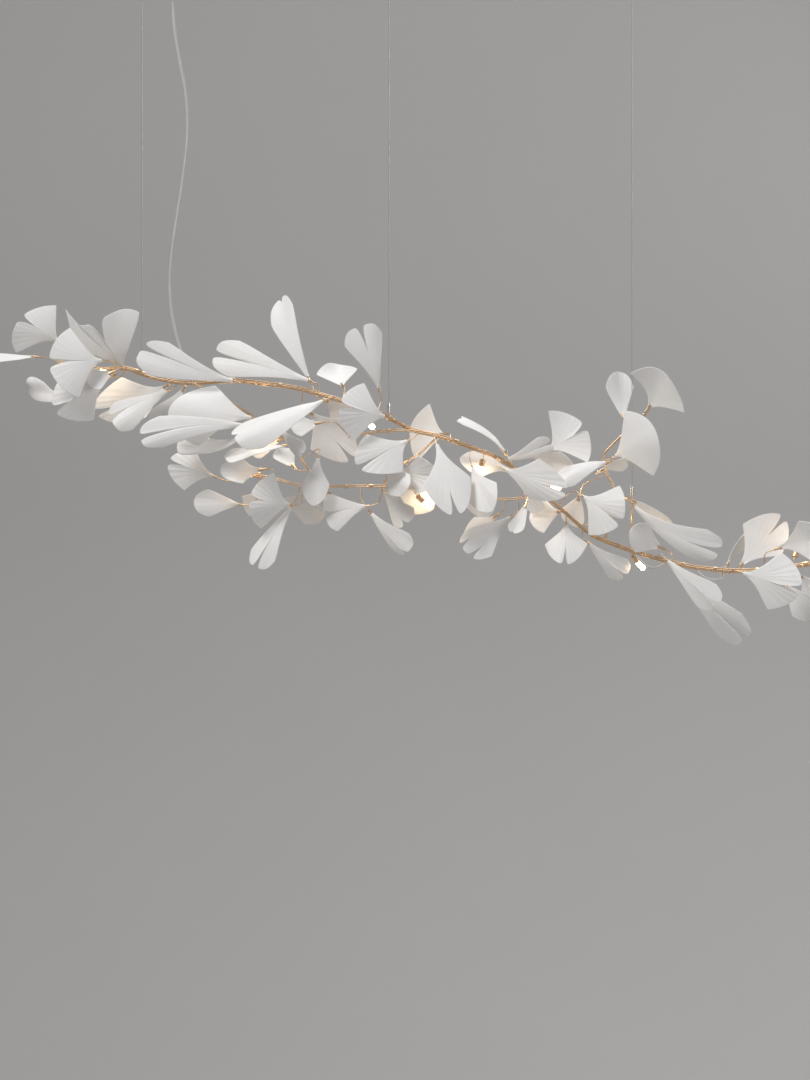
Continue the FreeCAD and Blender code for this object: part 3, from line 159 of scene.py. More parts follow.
# Each leaf: form, neck and tip as (station, depth, drop) in mm, full width, roll about
# the chord, bend of the midrib, cup across, skew of the front margin, sideways sweep of
# the midrib and, where it isn't the form's, its notches.
LEAVES = {
    "leaves_left_tip": [
        ("strap", (68, 20, 766), (-50, 40, 776), 70, 68, -20, 20, 0, 0),
        ("fan", (116, 0, 732), (40, -40, 690), 131, 8, -25, -35, -0.17, 0),
        ("fan", (206, -40, 772), (102, -80, 782), 146, 5, -35, -30, 0, 0),
        ("fan", (212, -6, 810), (110, -20, 872), 120, -10, -30, -30, 0, 0),
        ("spoon", (140, 56, 850), (50, 90, 804), 44, 20, -30, -40, 0, -16),
        ("spoon", (224, -22, 796), (176, -36, 816), 50, 10, 20, 20, 0, 0),
    ],
    "leaves_left_upper": [
        ("wing", (244, 12, 784), (202, -40, 688), 160, 0, -20, -30, 0, 0,
         [(-.74, -.45, .3), (-.12, .42, .25)]),
        ("twin", (466, -30, 812), (284, -80, 754), 78, 10, -25, -25, -0.05, -8, [(.25, .34, .22)]),
    ],
    "leaves_left_lower": [
        ("broad", (332, 50, 822), (184, 90, 874), 110, 20, 30, 40, 0.1, 0),
        ("twin", (334, -2, 832), (226, -30, 896), 70, 10, -20, -25, 0, 0, [(.3, .3, .3)]),
        ("strap", (368, 60, 826), (302, 110, 902), 60, 30, 20, 30, 0, 0),
    ],
    "leaves_left_large": [
        ("whole", (504, -30, 886), (340, -70, 874), 140, 15, -30, -40, -0.1, 0),
        ("twin", (494, -60, 902), (286, -120, 926), 66, 10, -20, -40, 0, 8),
        ("spoon", (480, -30, 930), (356, -50, 948), 80, 55, 30, 40, 0, 0),
        ("strap", (646, -70, 852), (472, -130, 930), 84, 35, -35, -50, 0, -14),
    ],
    "leaves_top": [
        ("twin", (616, 0, 810), (428, 20, 756), 80, 15, -15, -25, 0, 0),
        ("strap", (616, 20, 802), (556, 60, 648), 60, 20, -25, -20, 0.1, -8),
        ("whole", (684, 30, 822), (666, 90, 774), 90, 20, 30, 40, 0, 0),
        ("twin", (758, -10, 826), (720, -40, 704), 84, 10, -25, -30, 0, 0),
    ],
    "leaves_centre": [
        ("fan", (770, -50, 884), (678, -90, 866), 126, 5, -30, -35, 0, 0),
        ("whole", (650, 10, 850), (700, 40, 878), 60, 20, 20, 30, 0, 0),
        ("broad", (620, 20, 874), (704, 50, 970), 100, 10, 25, 35, 0, 0),
        ("spoon", (636, -20, 898), (580, -44, 902), 50, 20, 20, 30, 0, 0),
        ("broad", (814, -30, 932), (716, -60, 986), 104, 10, -20, -25, 0.1, 0),
    ],
    "leaves_lower_left": [
        ("fan", (426, 10, 1002), (336, 0, 976), 92, 10, -25, -30, 0, 0),
        ("spoon", (476, 10, 1058), (388, -10, 1056), 58, 15, -20, -25, 0, 0),
        ("whole", (524, 0, 990), (442, -30, 990), 70, 20, 30, 40, 0, 0),
        ("strap", (570, -20, 944), (452, -50, 970), 60, 65, -20, 20, 0, 0),
        ("spoon", (560, 20, 930), (498, 50, 946), 60, 20, 20, 30, 0, 0),
        ("whole", (526, 30, 1026), (502, 60, 1084), 70, 10, 30, 40, 0, 0),
    ],
    "leaves_lower_middle": [
        ("fan", (580, -30, 1060), (500, -70, 1050), 124, -10, -25, -35, 0, 0),
        ("spoon", (550, 20, 1050), (648, 10, 1082), 80, 45, 40, 40, 0, 0),
        ("twin", (580, -16, 1066), (512, -36, 1184), 60, 20, -15, -25, 0, 0),
        ("whole", (636, -20, 966), (628, -50, 1062), 62, 10, -25, -60, 0, 0),
        ("strap", (566, -60, 916), (608, -90, 958), 40, 30, -20, -30, 0, 0),
        ("spoon", (586, 20, 984), (558, 50, 946), 50, 30, 20, 30, 0, 0),
    ],
    "leaves_lower_right": [
        ("twin", (730, 0, 1062), (650, -20, 1078), 80, 10, -20, -25, 0, 0),
        ("twin", (742, 10, 1078), (818, 0, 1152), 56, 25, -20, -30, 0, 0, [(.3, .2, .3)]),
        ("spoon", (776, -12, 982), (810, -50, 1036), 60, 20, -20, -25, 0, 0),
        ("twin", (770, 18, 1036), (816, 2, 1096), 58, 15, -15, -25, 0, 0, [(.2, .2, .3)]),
        ("whole", (790, 30, 1030), (868, 60, 1066), 70, 20, 20, 30, 0, 0),
        ("fan", (790, -10, 996), (880, -50, 1004), 84, 10, 30, 40, 0, 0),
    ],
    "leaves_middle": [
        ("whole", (888, 40, 918), (820, 90, 914), 124, 10, 30, 35, 0, 0),
        ("fan", (874, -60, 940), (914, -110, 1082), 104, -10, -20, -30, 0, 0),
        ("whole", (944, -40, 986), (980, -90, 1074), 70, 15, -20, -30, 0, 0),
        ("whole", (948, 20, 1028), (974, 60, 1086), 60, 20, 20, 30, 0, 0),
        ("whole", (1020, 40, 990), (920, 36, 966), 60, 20, -20, -30, 0, 0),
        ("strap", (1010, 20, 950), (918, 40, 886), 60, 70, -35, -20, 0, 0),
    ],
    "leaves_middle_low": [
        ("spoon", (994, 20, 1084), (930, 50, 1116), 60, 50, 20, 30, 0, 0),
        ("strap", (1052, -30, 1060), (1026, -60, 1116), 36, 20, 20, 30, 0, 0),
        ("triple", (1020, -10, 1084), (930, -40, 1154), 84, 20, -20, -30, 0, 0),
        ("strap", (1044, 16, 1014), (1080, 30, 1074), 40, 30, 20, 30, 0, 0),
    ],
    "leaves_middle_right": [
        ("twin", (1016, -20, 970), (1102, -50, 936), 44, 20, -20, -25, 0, 0),
        ("fan", (1100, 10, 950), (1170, 40, 900), 134, -5, 25, 30, 0, 0),
        ("spoon", (1064, -16, 962), (1146, -40, 984), 60, 40, 20, 30, 0, 0),
        ("broad", (1010, -40, 990), (1134, -90, 1034), 90, 15, -25, -35, 0, 0),
        ("strap", (1210, -30, 974), (1116, -70, 1012), 50, 30, -30, -40, 0, 0),
    ],
    "leaves_riser": [
        ("strap", (1200, 20, 990), (1260, 50, 972), 50, 60, 20, 30, 0, 0),
        ("whole", (1230, -2, 962), (1312, -70, 918), 150, -10, -30, -25, 0, 0),
        ("spoon", (1248, 20, 886), (1238, 50, 792), 60, 15, 25, 30, 0, 0),
        ("whole", (1298, -12, 866), (1328, -50, 800), 140, 0, 30, 35, -0.22, 0),
        ("strap", (1290, 40, 874), (1344, 80, 822), 50, 60, 20, 20, 0, 0),
    ],
    "leaves_right_centre": [
        ("fan", (1166, -60, 1044), (1240, -110, 1094), 120, 5, -30, -35, 0, 0),
        ("broad", (1132, -10, 1100), (1128, -50, 1180), 90, 5, -20, -30, 0, 0),
        ("whole", (1122, 20, 1074), (1060, 50, 1084), 80, 20, 25, 35, 0, 0),
        ("spoon", (1160, 30, 1044), (1142, 70, 1100), 60, 20, 20, 30, 0, 0),
        ("twin", (1180, 10, 1140), (1252, 30, 1202), 60, 20, -15, -25, 0, 0),
        ("spoon", (1322, 8, 1146), (1260, -12, 1114), 70, 10, 25, 40, 0, 0),
    ],
    "leaves_right_long": [
        ("twin", (1268, -30, 1064), (1436, -70, 1152), 74, 20, -20, -30, 0, 12),
        ("twin", (1334, -30, 1172), (1432, -60, 1260), 64, 15, -20, -30, 0, 0),
        ("twin", (1344, 10, 1182), (1492, 20, 1330), 70, 20, -20, -25, 0, 0),
        ("strap", (1268, 32, 1050), (1342, 62, 1106), 40, 40, 20, 30, 0, 0),
    ],
    "leaves_right": [
        ("fan", (1482, 20, 1182), (1570, 50, 1082), 104, -5, 25, 30, 0, 0),
        ("spoon", (1456, 60, 1180), (1508, 100, 1110), 60, 65, 20, 30, 0, 0),
        ("fan", (1484, -40, 1196), (1598, -90, 1226), 126, 5, -25, -30, 0, 0),
        ("whole", (1556, -10, 1146), (1656, -40, 1118), 90, 10, 25, 35, 0, 0),
        ("whole", (1600, 0, 1200), (1660, 20, 1266), 90, 20, 20, 30, 0, 0),
        ("spoon", (1570, 10, 1220), (1624, 0, 1286), 60, 20, 20, 30, 0, 0),
    ],
    "leaves_right_tip": [
        ("fan", (1700, -20, 1162), (1776, -55, 1114), 124, 5, -25, -30, 0, 0),
        ("twin", (1724, 20, 1170), (1824, 40, 1210), 76, 15, -20, -25, 0, 0),
        ("fan", (1676, 40, 1162), (1704, 75, 1074), 116, -5, 25, 30, 0, 0),
        ("broad", (1692, -10, 1182), (1736, -60, 1266), 120, 5, -25, -30, 0, 0),
        ("strap", (1784, 0, 1160), (1856, -10, 1146), 60, 25, -20, -30, 0, 0),
        ("whole", (1652, 60, 1182), (1692, 100, 1254), 90, 10, 25, 35, 0, 0),
    ],
}

# Lampholders: foot of the holder and the way it points (station, depth, drop).
LAMPS = [
    ((228, 30, 800), (-0.9, 0.5, -0.3)),
    ((540, 16, 902), (-1, 0.2, 0.3)),
    ((520, 12, 1000), (-1, 0.1, -0.1)),
    ((656, 22, 1036), (0.1, 0.4, 1)),
    ((724, 16, 886), (0.6, 0.6, 0.5)),
    ((836, 14, 1042), (0.6, 0.4, 0.6)),
    ((966, 16, 968), (-0.2, 0, 0.9)),
    ((1086, 16, 1028), (1, 0.3, -0.1)),
    ((1104, 22, 1006), (0.6, 0.5, -0.6)),
    ((1180, 20, 1096), (0.8, 0.4, -0.4)),
    ((1266, 14, 1162), (0.6, 0.4, 0.7)),
    ((1590, 14, 1164), (0.3, 0.4, -1)),
    ((1724, 14, 1150), (0.8, 0.4, -0.3)),
]

# Power cord from the rose to its joiner (station, depth, drop).
POWER_CORD = [
    (346, 0, 34), (346, 0, 92), (357, 1, 162), (373, 3, 240), (376, 5, 318), (367, 7, 398),
    (354, 9, 480), (342, 11, 560), (338, 13, 630), (344, 15, 688), (356, 15, 738),
    (372, 13, 782), (400, 11.3, 815.5), (436, 11.3, 812.4),
]

# Short leads along the branch, in mm.
LEADS = [
    [(614.0, 3.7, -1188.4), (626.0, 8.0, -1203.0), (650.0, 10.0, -1211.0),
     (672.0, 8.0, -1205.0), (682.0, 3.7, -1195.0)],
    [(490.0, 3.7, -1156.5), (504.0, 12.0, -1174.0), (524.0, 15.0, -1187.0),
     (542.0, 10.0, -1184.0), (554.0, 3.7, -1175.3)],
]


def place(spots):
    """World points in mm of (station, depth, drop) rows."""
    spots = np.asarray(spots, float)
    return spots * (1, 1, -1) - (MIDDLE_STATION, 0, 0)


def unit(vector):
    return vector / np.linalg.norm(vector)


def turned(vector, axis, angle):
    """A vector turned about an axis by an angle: its part along the axis stays."""
    along = axis * np.dot(axis, vector)
    return along + (vector - along) * math.cos(angle) + np.cross(axis, vector) * math.sin(angle)


# ---------------------------------------------------------------- meshes

def grid_quads(rows, columns, close_columns=False):
    """Corner numbers of the quads of a grid of points, row by row."""
    row = np.arange(rows - 1)[:, None]
    column = np.arange(columns if close_columns else columns - 1)[None, :]
    next_column = (column + 1) % columns
    quads = [row * columns + column, row * columns + next_column,
             (row + 1) * columns + next_column, (row + 1) * columns + column]
    return np.stack(quads, -1).reshape(-1, 4)


def make_object(name, points, faces, weld=0.0, maps=None, layers=None):
    """Object from points in mm and quads; maps holds UVs and layers values, by point."""
    mesh = bpy.data.meshes.new(name)
    mesh.from_pydata((np.asarray(points) * MM).tolist(), [], [tuple(face) for face in faces])
    if maps is not None:
        loops = np.empty(len(mesh.loops), np.int32)
        mesh.loops.foreach_get("vertex_index", loops)
        chart = mesh.uv_layers.new(name="leaf_map")
        chart.data.foreach_set("uv", np.asarray(maps)[loops].astype(np.float32).ravel())
    for label, values in (layers or {}).items():
        layer = mesh.attributes.new(label, "FLOAT", "POINT")
        layer.data.foreach_set("value", np.asarray(values, np.float32))
    if weld:
        work = bmesh.new()
        work.from_mesh(mesh)
        bmesh.ops.remove_doubles(work, verts=work.verts, dist=weld)
        bmesh.ops.dissolve_degenerate(work, edges=work.edges, dist=weld)
        bmesh.ops.recalc_face_normals(work, faces=work.faces)
        work.to_mesh(mesh)
        work.free()
    mesh.polygons.foreach_set("use_smooth", np.full(len(mesh.polygons), True))
    mesh.update()
    item = bpy.data.objects.new(name, mesh)
    bpy.context.scene.collection.objects.link(item)
    return item


def dress(item, material):
    """Gives an object one material, and hands the object back."""
    item.data.materials.clear()
    item.data.materials.append(material)
    return item


def cross_directions(path):
    """A pair of unit directions square to a path of points, carried along it unturned."""
    tangents = np.gradient(path, axis=0)
    tangents /= np.linalg.norm(tangents, axis=1)[:, None]
    start = np.eye(3)[np.argmin(np.abs(tangents[0]))]
    first = np.empty_like(tangents)
    first[0] = unit(start - tangents[0] * np.dot(start, tangents[0]))
    for step in range(1, len(path)):
        carried = first[step - 1] - tangents[step] * np.dot(first[step - 1], tangents[step])
        first[step] = unit(carried)
    return first, np.cross(tangents, first)


def tube(path, radii, sides, lobes=0, relief=0.0, pitch=1.0):
    """Rings of points along a path, their radius waved round by lobes that wind.

    radius = radii * (1 + relief * cos(lobes * (angle - 2 pi * way / pitch)))
    """
    path = np.asarray(path, float)
    first, second = cross_directions(path)
    way = np.concatenate([[0], np.cumsum(np.linalg.norm(np.diff(path, axis=0), axis=1))])
    angle = np.linspace(0, 2 * math.pi, sides, endpoint=False)
    wave = 1 + relief * np.cos(lobes * (angle[None, :] - 2 * math.pi * way[:, None] / pitch))
    reach = np.broadcast_to(np.asarray(radii, float), (len(path),))[:, None] * wave
    across = np.cos(angle)[None, :, None] * first[:, None, :] \
        + np.sin(angle)[None, :, None] * second[:, None, :]
    return path[:, None, :] + across * reach[:, :, None]


def capped(rings):
    """Points and quads of a tube with both ends closed on their centres."""
    rows, sides = rings.shape[:2]
    ends = [np.broadcast_to(ring.mean(0), (1, sides, 3)) for ring in (rings[0], rings[-1])]
    whole = np.concatenate([ends[0], rings, ends[1]])
    return whole.reshape(-1, 3), grid_quads(rows + 2, sides, close_columns=True)


def joined(parts):
    """Points and quads of several shapes as one."""
    points, faces, count = [], [], 0
    for spots, quads in parts:
        points.append(spots)
        faces.append(quads + count)
        count += len(spots)
    return np.concatenate(points), np.concatenate(faces)


def turned_shape(profile, foot, heading, sides):
    """Profile of (way along, radius) spun round an axis from foot along heading."""
    profile = np.asarray(profile, float)
    side = unit(np.cross(heading, np.eye(3)[np.argmin(np.abs(heading))]))
    other = np.cross(heading, side)
    angle = np.linspace(0, 2 * math.pi, sides, endpoint=False)
    ring = np.cos(angle)[:, None] * side + np.sin(angle)[:, None] * other
    points = foot + profile[:, 0, None, None] * heading + profile[:, 1, None, None] * ring[None]
    return points.reshape(-1, 3), grid_quads(len(profile), sides, close_columns=True)


# ---------------------------------------------------------------- leaves

def leaf_notches(row):
    """A leaf's own notches, or else its form's."""
    return row[9] if len(row) > 9 else FORMS[row[0]][3]


def leaf_margin(across, drop, power, skew, notches):
    """Share of the length at which a leaf's front margin lies.

    1 - drop |a|^power - corner |a|^corner power + skew a, less a slit at each notch,
    depth (1 - |a - middle| / (half + shoulder))^notch power: narrow, with round lips.
    """
    edge = 1 - drop * np.abs(across) ** power - CORNER_SHARE * np.abs(across) ** CORNER_POWER
    edge = edge + skew * across
    for middle, depth, half in notches:
        near = np.maximum(0, 1 - np.abs(across - middle) / (half + SHOULDER))
        edge = edge - depth * near ** NOTCH_POWER
    return edge


def leaf_half(along, width, flare):
    """Half width on the way along: a power from neck to front, drawn in at the corners."""
    full = NECK_WIDTH / 2 + (width / 2 - NECK_WIDTH / 2) * along ** flare
    return full * (1 + CORNER_DRAW * (DRAW_LEVEL - along ** CORNER_POWER))


def leaf_points(row, along, across, offset):
    """Points of a leaf from arrays of the way along, across and out of its middle.

    The midrib is an arc from neck to tip. Each section is an arc round the midrib,
    rolled tight at the neck and open further out; the sides flare by a power of the
    way along, and the front margin is leaf_margin().
    """
    form, neck, tip, width, roll, bend, cup, skew, sweep = row[:9]
    flare, drop, power = FORMS[form][:3]
    start = place(neck)
    chord = place(tip) - start
    length = np.linalg.norm(chord)
    chord = chord / length
    view = np.array((0.0, -1.0, 0.0))
    normal = turned(unit(view - chord * np.dot(chord, view)), chord, math.radians(roll))
    side = np.cross(chord, normal)
    bend = math.radians(bend)
    reach = along * leaf_margin(across, drop, power, skew, leaf_notches(row))
    half = leaf_half(along, width, flare)
    rolled = math.copysign(NECK_ROLL, cup) * np.exp(-(along / NECK_FADE) ** 2)
    section = 2 * half / np.radians(CUP_DEPTH * cup * along + rolled)
    turn = across * half / section
    beside = np.sin(turn) * (section - offset) + sweep * 4 * reach * (1 - reach)
    lift = section - np.cos(turn) * (section - offset)
    radius = length / (2 * math.sin(bend / 2))
    swing = bend * (reach - 0.5)
    centre = start + chord * (length / 2) + normal * (radius * math.cos(bend / 2))
    arm = radius - lift
    return centre + chord * (arm * np.sin(swing))[..., None] \
        - normal * (arm * np.cos(swing))[..., None] + side * beside[..., None]


def leaf_columns(notches, count):
    """Places across a leaf: an even row of them, set closer together at each notch."""
    spots = set(np.round(np.linspace(-1, 1, count), 4).tolist())
    steps = np.array(NOTCH_STEPS)
    for middle, _, half in notches:
        reach = half + SHOULDER
        near = middle + reach * np.concatenate([-steps[::-1], [0], steps])
        spots = {spot for spot in spots if abs(spot - middle) > reach * 0.9}
        spots |= {float(round(spot, 4)) for spot in near if -0.99 < spot < 0.99}
    return np.array(sorted(spots))


def leaf_shell(row, number, leaf):
    """Thin closed leaf with a rounded rim, soft pleats and a waved front margin.

    Half thickness = sheet / 2 * sqrt(1 - (1 - rim / (sheet / 2))^2) within sheet / 2
    of any margin. Both faces move out together by pleats, a cosine across the leaf
    that grows towards the front, and by waves, a slower sine that grows later.
    Returns points, quads, a UV map and a tone, the last two by point.
    """
    form, neck, tip, width = row[:4]
    length = np.linalg.norm(place(tip) - place(neck))
    thick = leaf.sheet / MM / 2
    rims = thick * np.array(RIM_STEPS)
    inner = np.linspace(0, 1, leaf.rows) ** ROW_POWER
    last = rims[-1] / length
    along = np.concatenate([rims[:-1] / length, last + (1 - 2 * last) * inner,
                            1 - rims[-2::-1] / length])
    half = leaf_half(along, width, FORMS[form][0])
    edge = 1 - rims[:-1][None, :] / half[:, None]
    middle = leaf_columns(leaf_notches(row), leaf.columns)[None, :]
    middle = middle * (1 - rims[-1] / half[:, None])
    across = np.concatenate([-edge, middle, edge[:, ::-1]], 1)
    ways = np.broadcast_to(along[:, None], across.shape)
    near_side = (1 - np.abs(across)) * half[:, None]
    near_end = np.minimum(ways, 1 - ways) * length
    rim = np.clip(np.minimum(near_side, near_end) / thick, 0, 1)
    shell = thick * np.sqrt(1 - (1 - rim) ** 2)
    phase = number * PHASE_STEP
    count = max(3, round(width / leaf.pleat_spacing * MM))
    calm = 1 - np.abs(across) ** CALM_POWER
    pleats = leaf.pleat_height / MM * ways ** PLEAT_POWER * calm \
        * np.cos(math.pi * count * across + phase)
    pleats = pleats * (1.0 if form in PLEATED else FAINT_PLEATS)
    waves = leaf.wave_height / MM * ways ** WAVE_POWER \
        * np.sin(math.pi * WAVE_COUNT * across + phase)
    waves = waves * min(1.0, width / WAVED_WIDTH)
    front = leaf_points(row, ways, across, pleats + waves + shell)
    back = leaf_points(row, ways, across, pleats + waves - shell)
    rows, columns = across.shape
    quads = grid_quads(rows, columns)
    points = np.concatenate([front.reshape(-1, 3), back.reshape(-1, 3)])
    faces = np.concatenate([quads, quads[:, ::-1] + rows * columns])
    chart = np.stack([across.ravel() * 0.5 + 0.5, ways.ravel()], 1)
    tone = np.full(2 * rows * columns, (number * TONE_STEP) % 1.0)
    return points, faces, np.concatenate([chart, chart]), tone


# ---------------------------------------------------------------- materials

def add_node(tree, kind, values=None, operation=None):
    """A new node, with the values of its named inputs and its operation."""
    node = tree.nodes.new(kind)
    if operation:
        node.operation = operation
    for label, value in (values or {}).items():
        node.inputs[label].default_value = value
    return node


def add_input(tree, name, value):
    """A float input on a node group."""
    socket = tree.interface.new_socket(name=name, in_out="INPUT", socket_type="NodeSocketFloat")
    socket.default_value = value


def noise_group(label, scale, output, detail):
    """Node group with noise on Object coordinates, scaled by its first input.

    Returns the group, its input and output nodes and the noise's socket.
    """
    tree = bpy.data.node_groups.new(label, "ShaderNodeTree")
    add_input(tree, "Scale", scale)
    tree.interface.new_socket(name=output, in_out="OUTPUT", socket_type="NodeSocketFloat")
    entry = add_node(tree, "NodeGroupInput")
    leave = add_node(tree, "NodeGroupOutput")
    spot = add_node(tree, "ShaderNodeTexCoord")
    noise = add_node(tree, "ShaderNodeTexNoise", {"Detail": detail})
    tree.links.new(spot.outputs["Object"], noise.inputs["Vector"])
    tree.links.new(entry.outputs["Scale"], noise.inputs["Scale"])
    return tree, entry, leave, noise.outputs["Fac"]


def mottle_group():
    """Soft blotches, as a value between Low and High."""
    tree = bpy.data.node_groups.get("soft_mottle")
    if tree:
        return tree
    tree, entry, leave, noise = noise_group("soft_mottle", 20.0, "Value", 4.0)
    add_input(tree, "Low", 0.0)
    add_input(tree, "High", 1.0)
    spread = add_node(tree, "ShaderNodeMapRange", {"From Min": 0.3, "From Max": 0.7})
    tree.links.new(noise, spread.inputs["Value"])
    tree.links.new(entry.outputs["Low"], spread.inputs["To Min"])
    tree.links.new(entry.outputs["High"], spread.inputs["To Max"])
    tree.links.new(spread.outputs["Result"], leave.inputs["Value"])
    return tree


def grain_group():
    """Fine grain, as a height."""
    tree = bpy.data.node_groups.get("fine_grain")
    if tree:
        return tree
    tree, _, leave, noise = noise_group("fine_grain", 900.0, "Height", 6.0)
    tree.links.new(noise, leave.inputs["Height"])
    return tree


def placed_group(tree, group, **values):
    """A group node in a material, with its own values on its named inputs."""
    node = add_node(tree, "ShaderNodeGroup")
    node.node_tree = group
    for label, value in values.items():
        node.inputs[label].default_value = value
    return node


def finish_material(name, color, second, roughness, mottle, bump, grain=900.0, metallic=0.0):
    """A surface with two tones in soft blotches, uneven gloss and a fine grain."""
    material = bpy.data.materials.new(name)
    material.use_nodes = True
    tree = material.node_tree
    shader = tree.nodes["Principled BSDF"]
    shader.inputs["Metallic"].default_value = metallic
    blotch = placed_group(tree, mottle_group(), Scale=mottle)
    gloss = placed_group(tree, mottle_group(), Scale=mottle * 2.3,
                         Low=roughness[0], High=roughness[1])
    mix = tree.nodes.new("ShaderNodeMix")
    mix.data_type = "RGBA"
    mix.inputs["A"].default_value = (*color, 1.0)
    mix.inputs["B"].default_value = (*second, 1.0)
    tree.links.new(blotch.outputs["Value"], mix.inputs["Factor"])
    tree.links.new(mix.outputs["Result"], shader.inputs["Base Color"])
    tree.links.new(gloss.outputs["Value"], shader.inputs["Roughness"])
    fine = placed_group(tree, grain_group(), Scale=grain)
    raised = add_node(tree, "ShaderNodeBump", {"Strength": bump, "Distance": 0.0004})
    tree.links.new(fine.outputs["Height"], raised.inputs["Height"])
    tree.links.new(raised.outputs["Normal"], shader.inputs["Normal"])
    return material

def shade(color, factor):
    """A colour made lighter or darker, as a plain tuple."""
    return tuple(min(1.0, part * factor) for part in color)


def porcelain(finish):
    """Bisque porcelain: tone by leaf, faint blotches, radial veins that follow the fan."""
    white = tuple(finish.porcelain)
    material = finish_material("bisque_porcelain", white, shade(white, 0.965), (0.42, 0.56),
                               mottle=28.0, grain=2600.0, bump=0.06)
    tree = material.node_tree
    shader = tree.nodes["Principled BSDF"]
    shader.inputs["Specular IOR Level"].default_value = 0.42
    shader.inputs["Subsurface Weight"].default_value = 0.2
    shader.inputs["Subsurface Radius"].default_value = (1.0, 0.92, 0.82)
    shader.inputs["Subsurface Scale"].default_value = 0.004
    tone = add_node(tree, "ShaderNodeAttribute")
    tone.attribute_name = "leaf_tone"
    spread = add_node(tree, "ShaderNodeMapRange", {"To Min": 0.955, "To Max": 1.0})
    tree.links.new(tone.outputs["Fac"], spread.inputs["Value"])
    base = shader.inputs["Base Color"].links[0].from_socket
    tint = add_node(tree, "ShaderNodeVectorMath", operation="SCALE")
    tree.links.new(base, tint.inputs[0])
    tree.links.new(spread.outputs["Result"], tint.inputs["Scale"])
    tree.links.new(tint.outputs["Vector"], shader.inputs["Base Color"])
    chart = add_node(tree, "ShaderNodeUVMap")
    chart.uv_map = "leaf_map"
    veins = add_node(tree, "ShaderNodeTexWave", {"Scale": 11.0, "Distortion": 1.6,
                                                 "Detail": 1.0, "Detail Scale": 0.7})
    veins.bands_direction = "X"
    tree.links.new(chart.outputs["UV"], veins.inputs["Vector"])
    grain = shader.inputs["Normal"].links[0].from_socket
    raised = add_node(tree, "ShaderNodeBump", {"Strength": 0.10, "Distance": 0.0003})
    tree.links.new(veins.outputs["Fac"], raised.inputs["Height"])
    tree.links.new(grain, raised.inputs["Normal"])
    tree.links.new(raised.outputs["Normal"], shader.inputs["Normal"])
    return material


def lit_glass(finish):
    """Frosted bulb glass that glows warm."""
    material = finish_material("lit_bulb_glass", (0.98, 0.95, 0.88), (0.96, 0.91, 0.82),
                               (0.3, 0.42), mottle=90.0, bump=0.04)
    shader = material.node_tree.nodes["Principled BSDF"]
    shader.inputs["Emission Color"].default_value = (*finish.glow, 1.0)
    shader.inputs["Emission Strength"].default_value = finish.glow_strength
    return material


def seen_rays(tree):
    """One for the rays that show the backdrop itself or its mirror image, else zero."""
    rays = add_node(tree, "ShaderNodeLightPath")
    first = add_node(tree, "ShaderNodeMath")
    both = add_node(tree, "ShaderNodeMath")
    both.use_clamp = True
    tree.links.new(rays.outputs["Is Camera Ray"], first.inputs[0])
    tree.links.new(rays.outputs["Is Glossy Ray"], first.inputs[1])
    tree.links.new(first.outputs[0], both.inputs[0])
    tree.links.new(rays.outputs["Is Transmission Ray"], both.inputs[1])
    return both.outputs[0]


def mixed(tree, share, first, second):
    """Shader socket that goes from the first shader to the second by a share."""
    mix = add_node(tree, "ShaderNodeMixShader")
    tree.links.new(share, mix.inputs[0])
    tree.links.new(first, mix.inputs[1])
    tree.links.new(second, mix.inputs[2])
    return mix.outputs[0]


def backdrop_paper(color):
    """Matte paper that fades into the surroundings far off and is clear from its back."""
    material = finish_material("pale_paper", color, shade(color, 0.985), (0.85, 0.95),
                               mottle=1.5, grain=60.0, bump=0.02)
    tree = material.node_tree
    spot = add_node(tree, "ShaderNodeTexCoord")
    away = add_node(tree, "ShaderNodeVectorMath", operation="LENGTH")
    fade = add_node(tree, "ShaderNodeMapRange", {"From Min": FADE_START, "From Max": FADE_END})
    share = add_node(tree, "ShaderNodeMath", operation="MULTIPLY")
    plain = add_node(tree, "ShaderNodeEmission", {"Color": (*shade(color, FAR_SHADE), 1.0)})
    tree.links.new(spot.outputs["Object"], away.inputs[0])
    tree.links.new(away.outputs["Value"], fade.inputs["Value"])
    tree.links.new(fade.outputs["Result"], share.inputs[0])
    tree.links.new(seen_rays(tree), share.inputs[1])
    front = mixed(tree, share.outputs[0], tree.nodes["Principled BSDF"].outputs[0],
                  plain.outputs[0])
    side = add_node(tree, "ShaderNodeNewGeometry")
    clear = add_node(tree, "ShaderNodeBsdfTransparent")
    leave = tree.nodes["Material Output"]
    tree.links.new(mixed(tree, side.outputs["Backfacing"], front, clear.outputs[0]),
                   leave.inputs["Surface"])
    return material


# ---------------------------------------------------------------- settings

class LeafSettings(bpy.types.PropertyGroup):
    sheet: FloatProperty(name="Sheet", description="Porcelain thickness",
                         default=1.6 * MM, min=0.5 * MM, subtype="DISTANCE", unit="LENGTH")
    pleat_height: FloatProperty(name="Pleat height", description="How far the pleats stand out",
                                default=0.5 * MM, subtype="DISTANCE", unit="LENGTH")
    pleat_spacing: FloatProperty(name="Pleat spacing", description="Leaf width for each pleat",
                                 default=11 * MM, subtype="DISTANCE", unit="LENGTH")
    wave_height: FloatProperty(name="Wave height", description="Wave of the front margin",
                               default=5.0 * MM, subtype="DISTANCE", unit="LENGTH")
    rows: IntProperty(name="Rows", description="Grid rows from neck to margin",
                      default=30, min=8)
    columns: IntProperty(name="Columns", description="Grid columns across a leaf",
                         default=41, min=9)


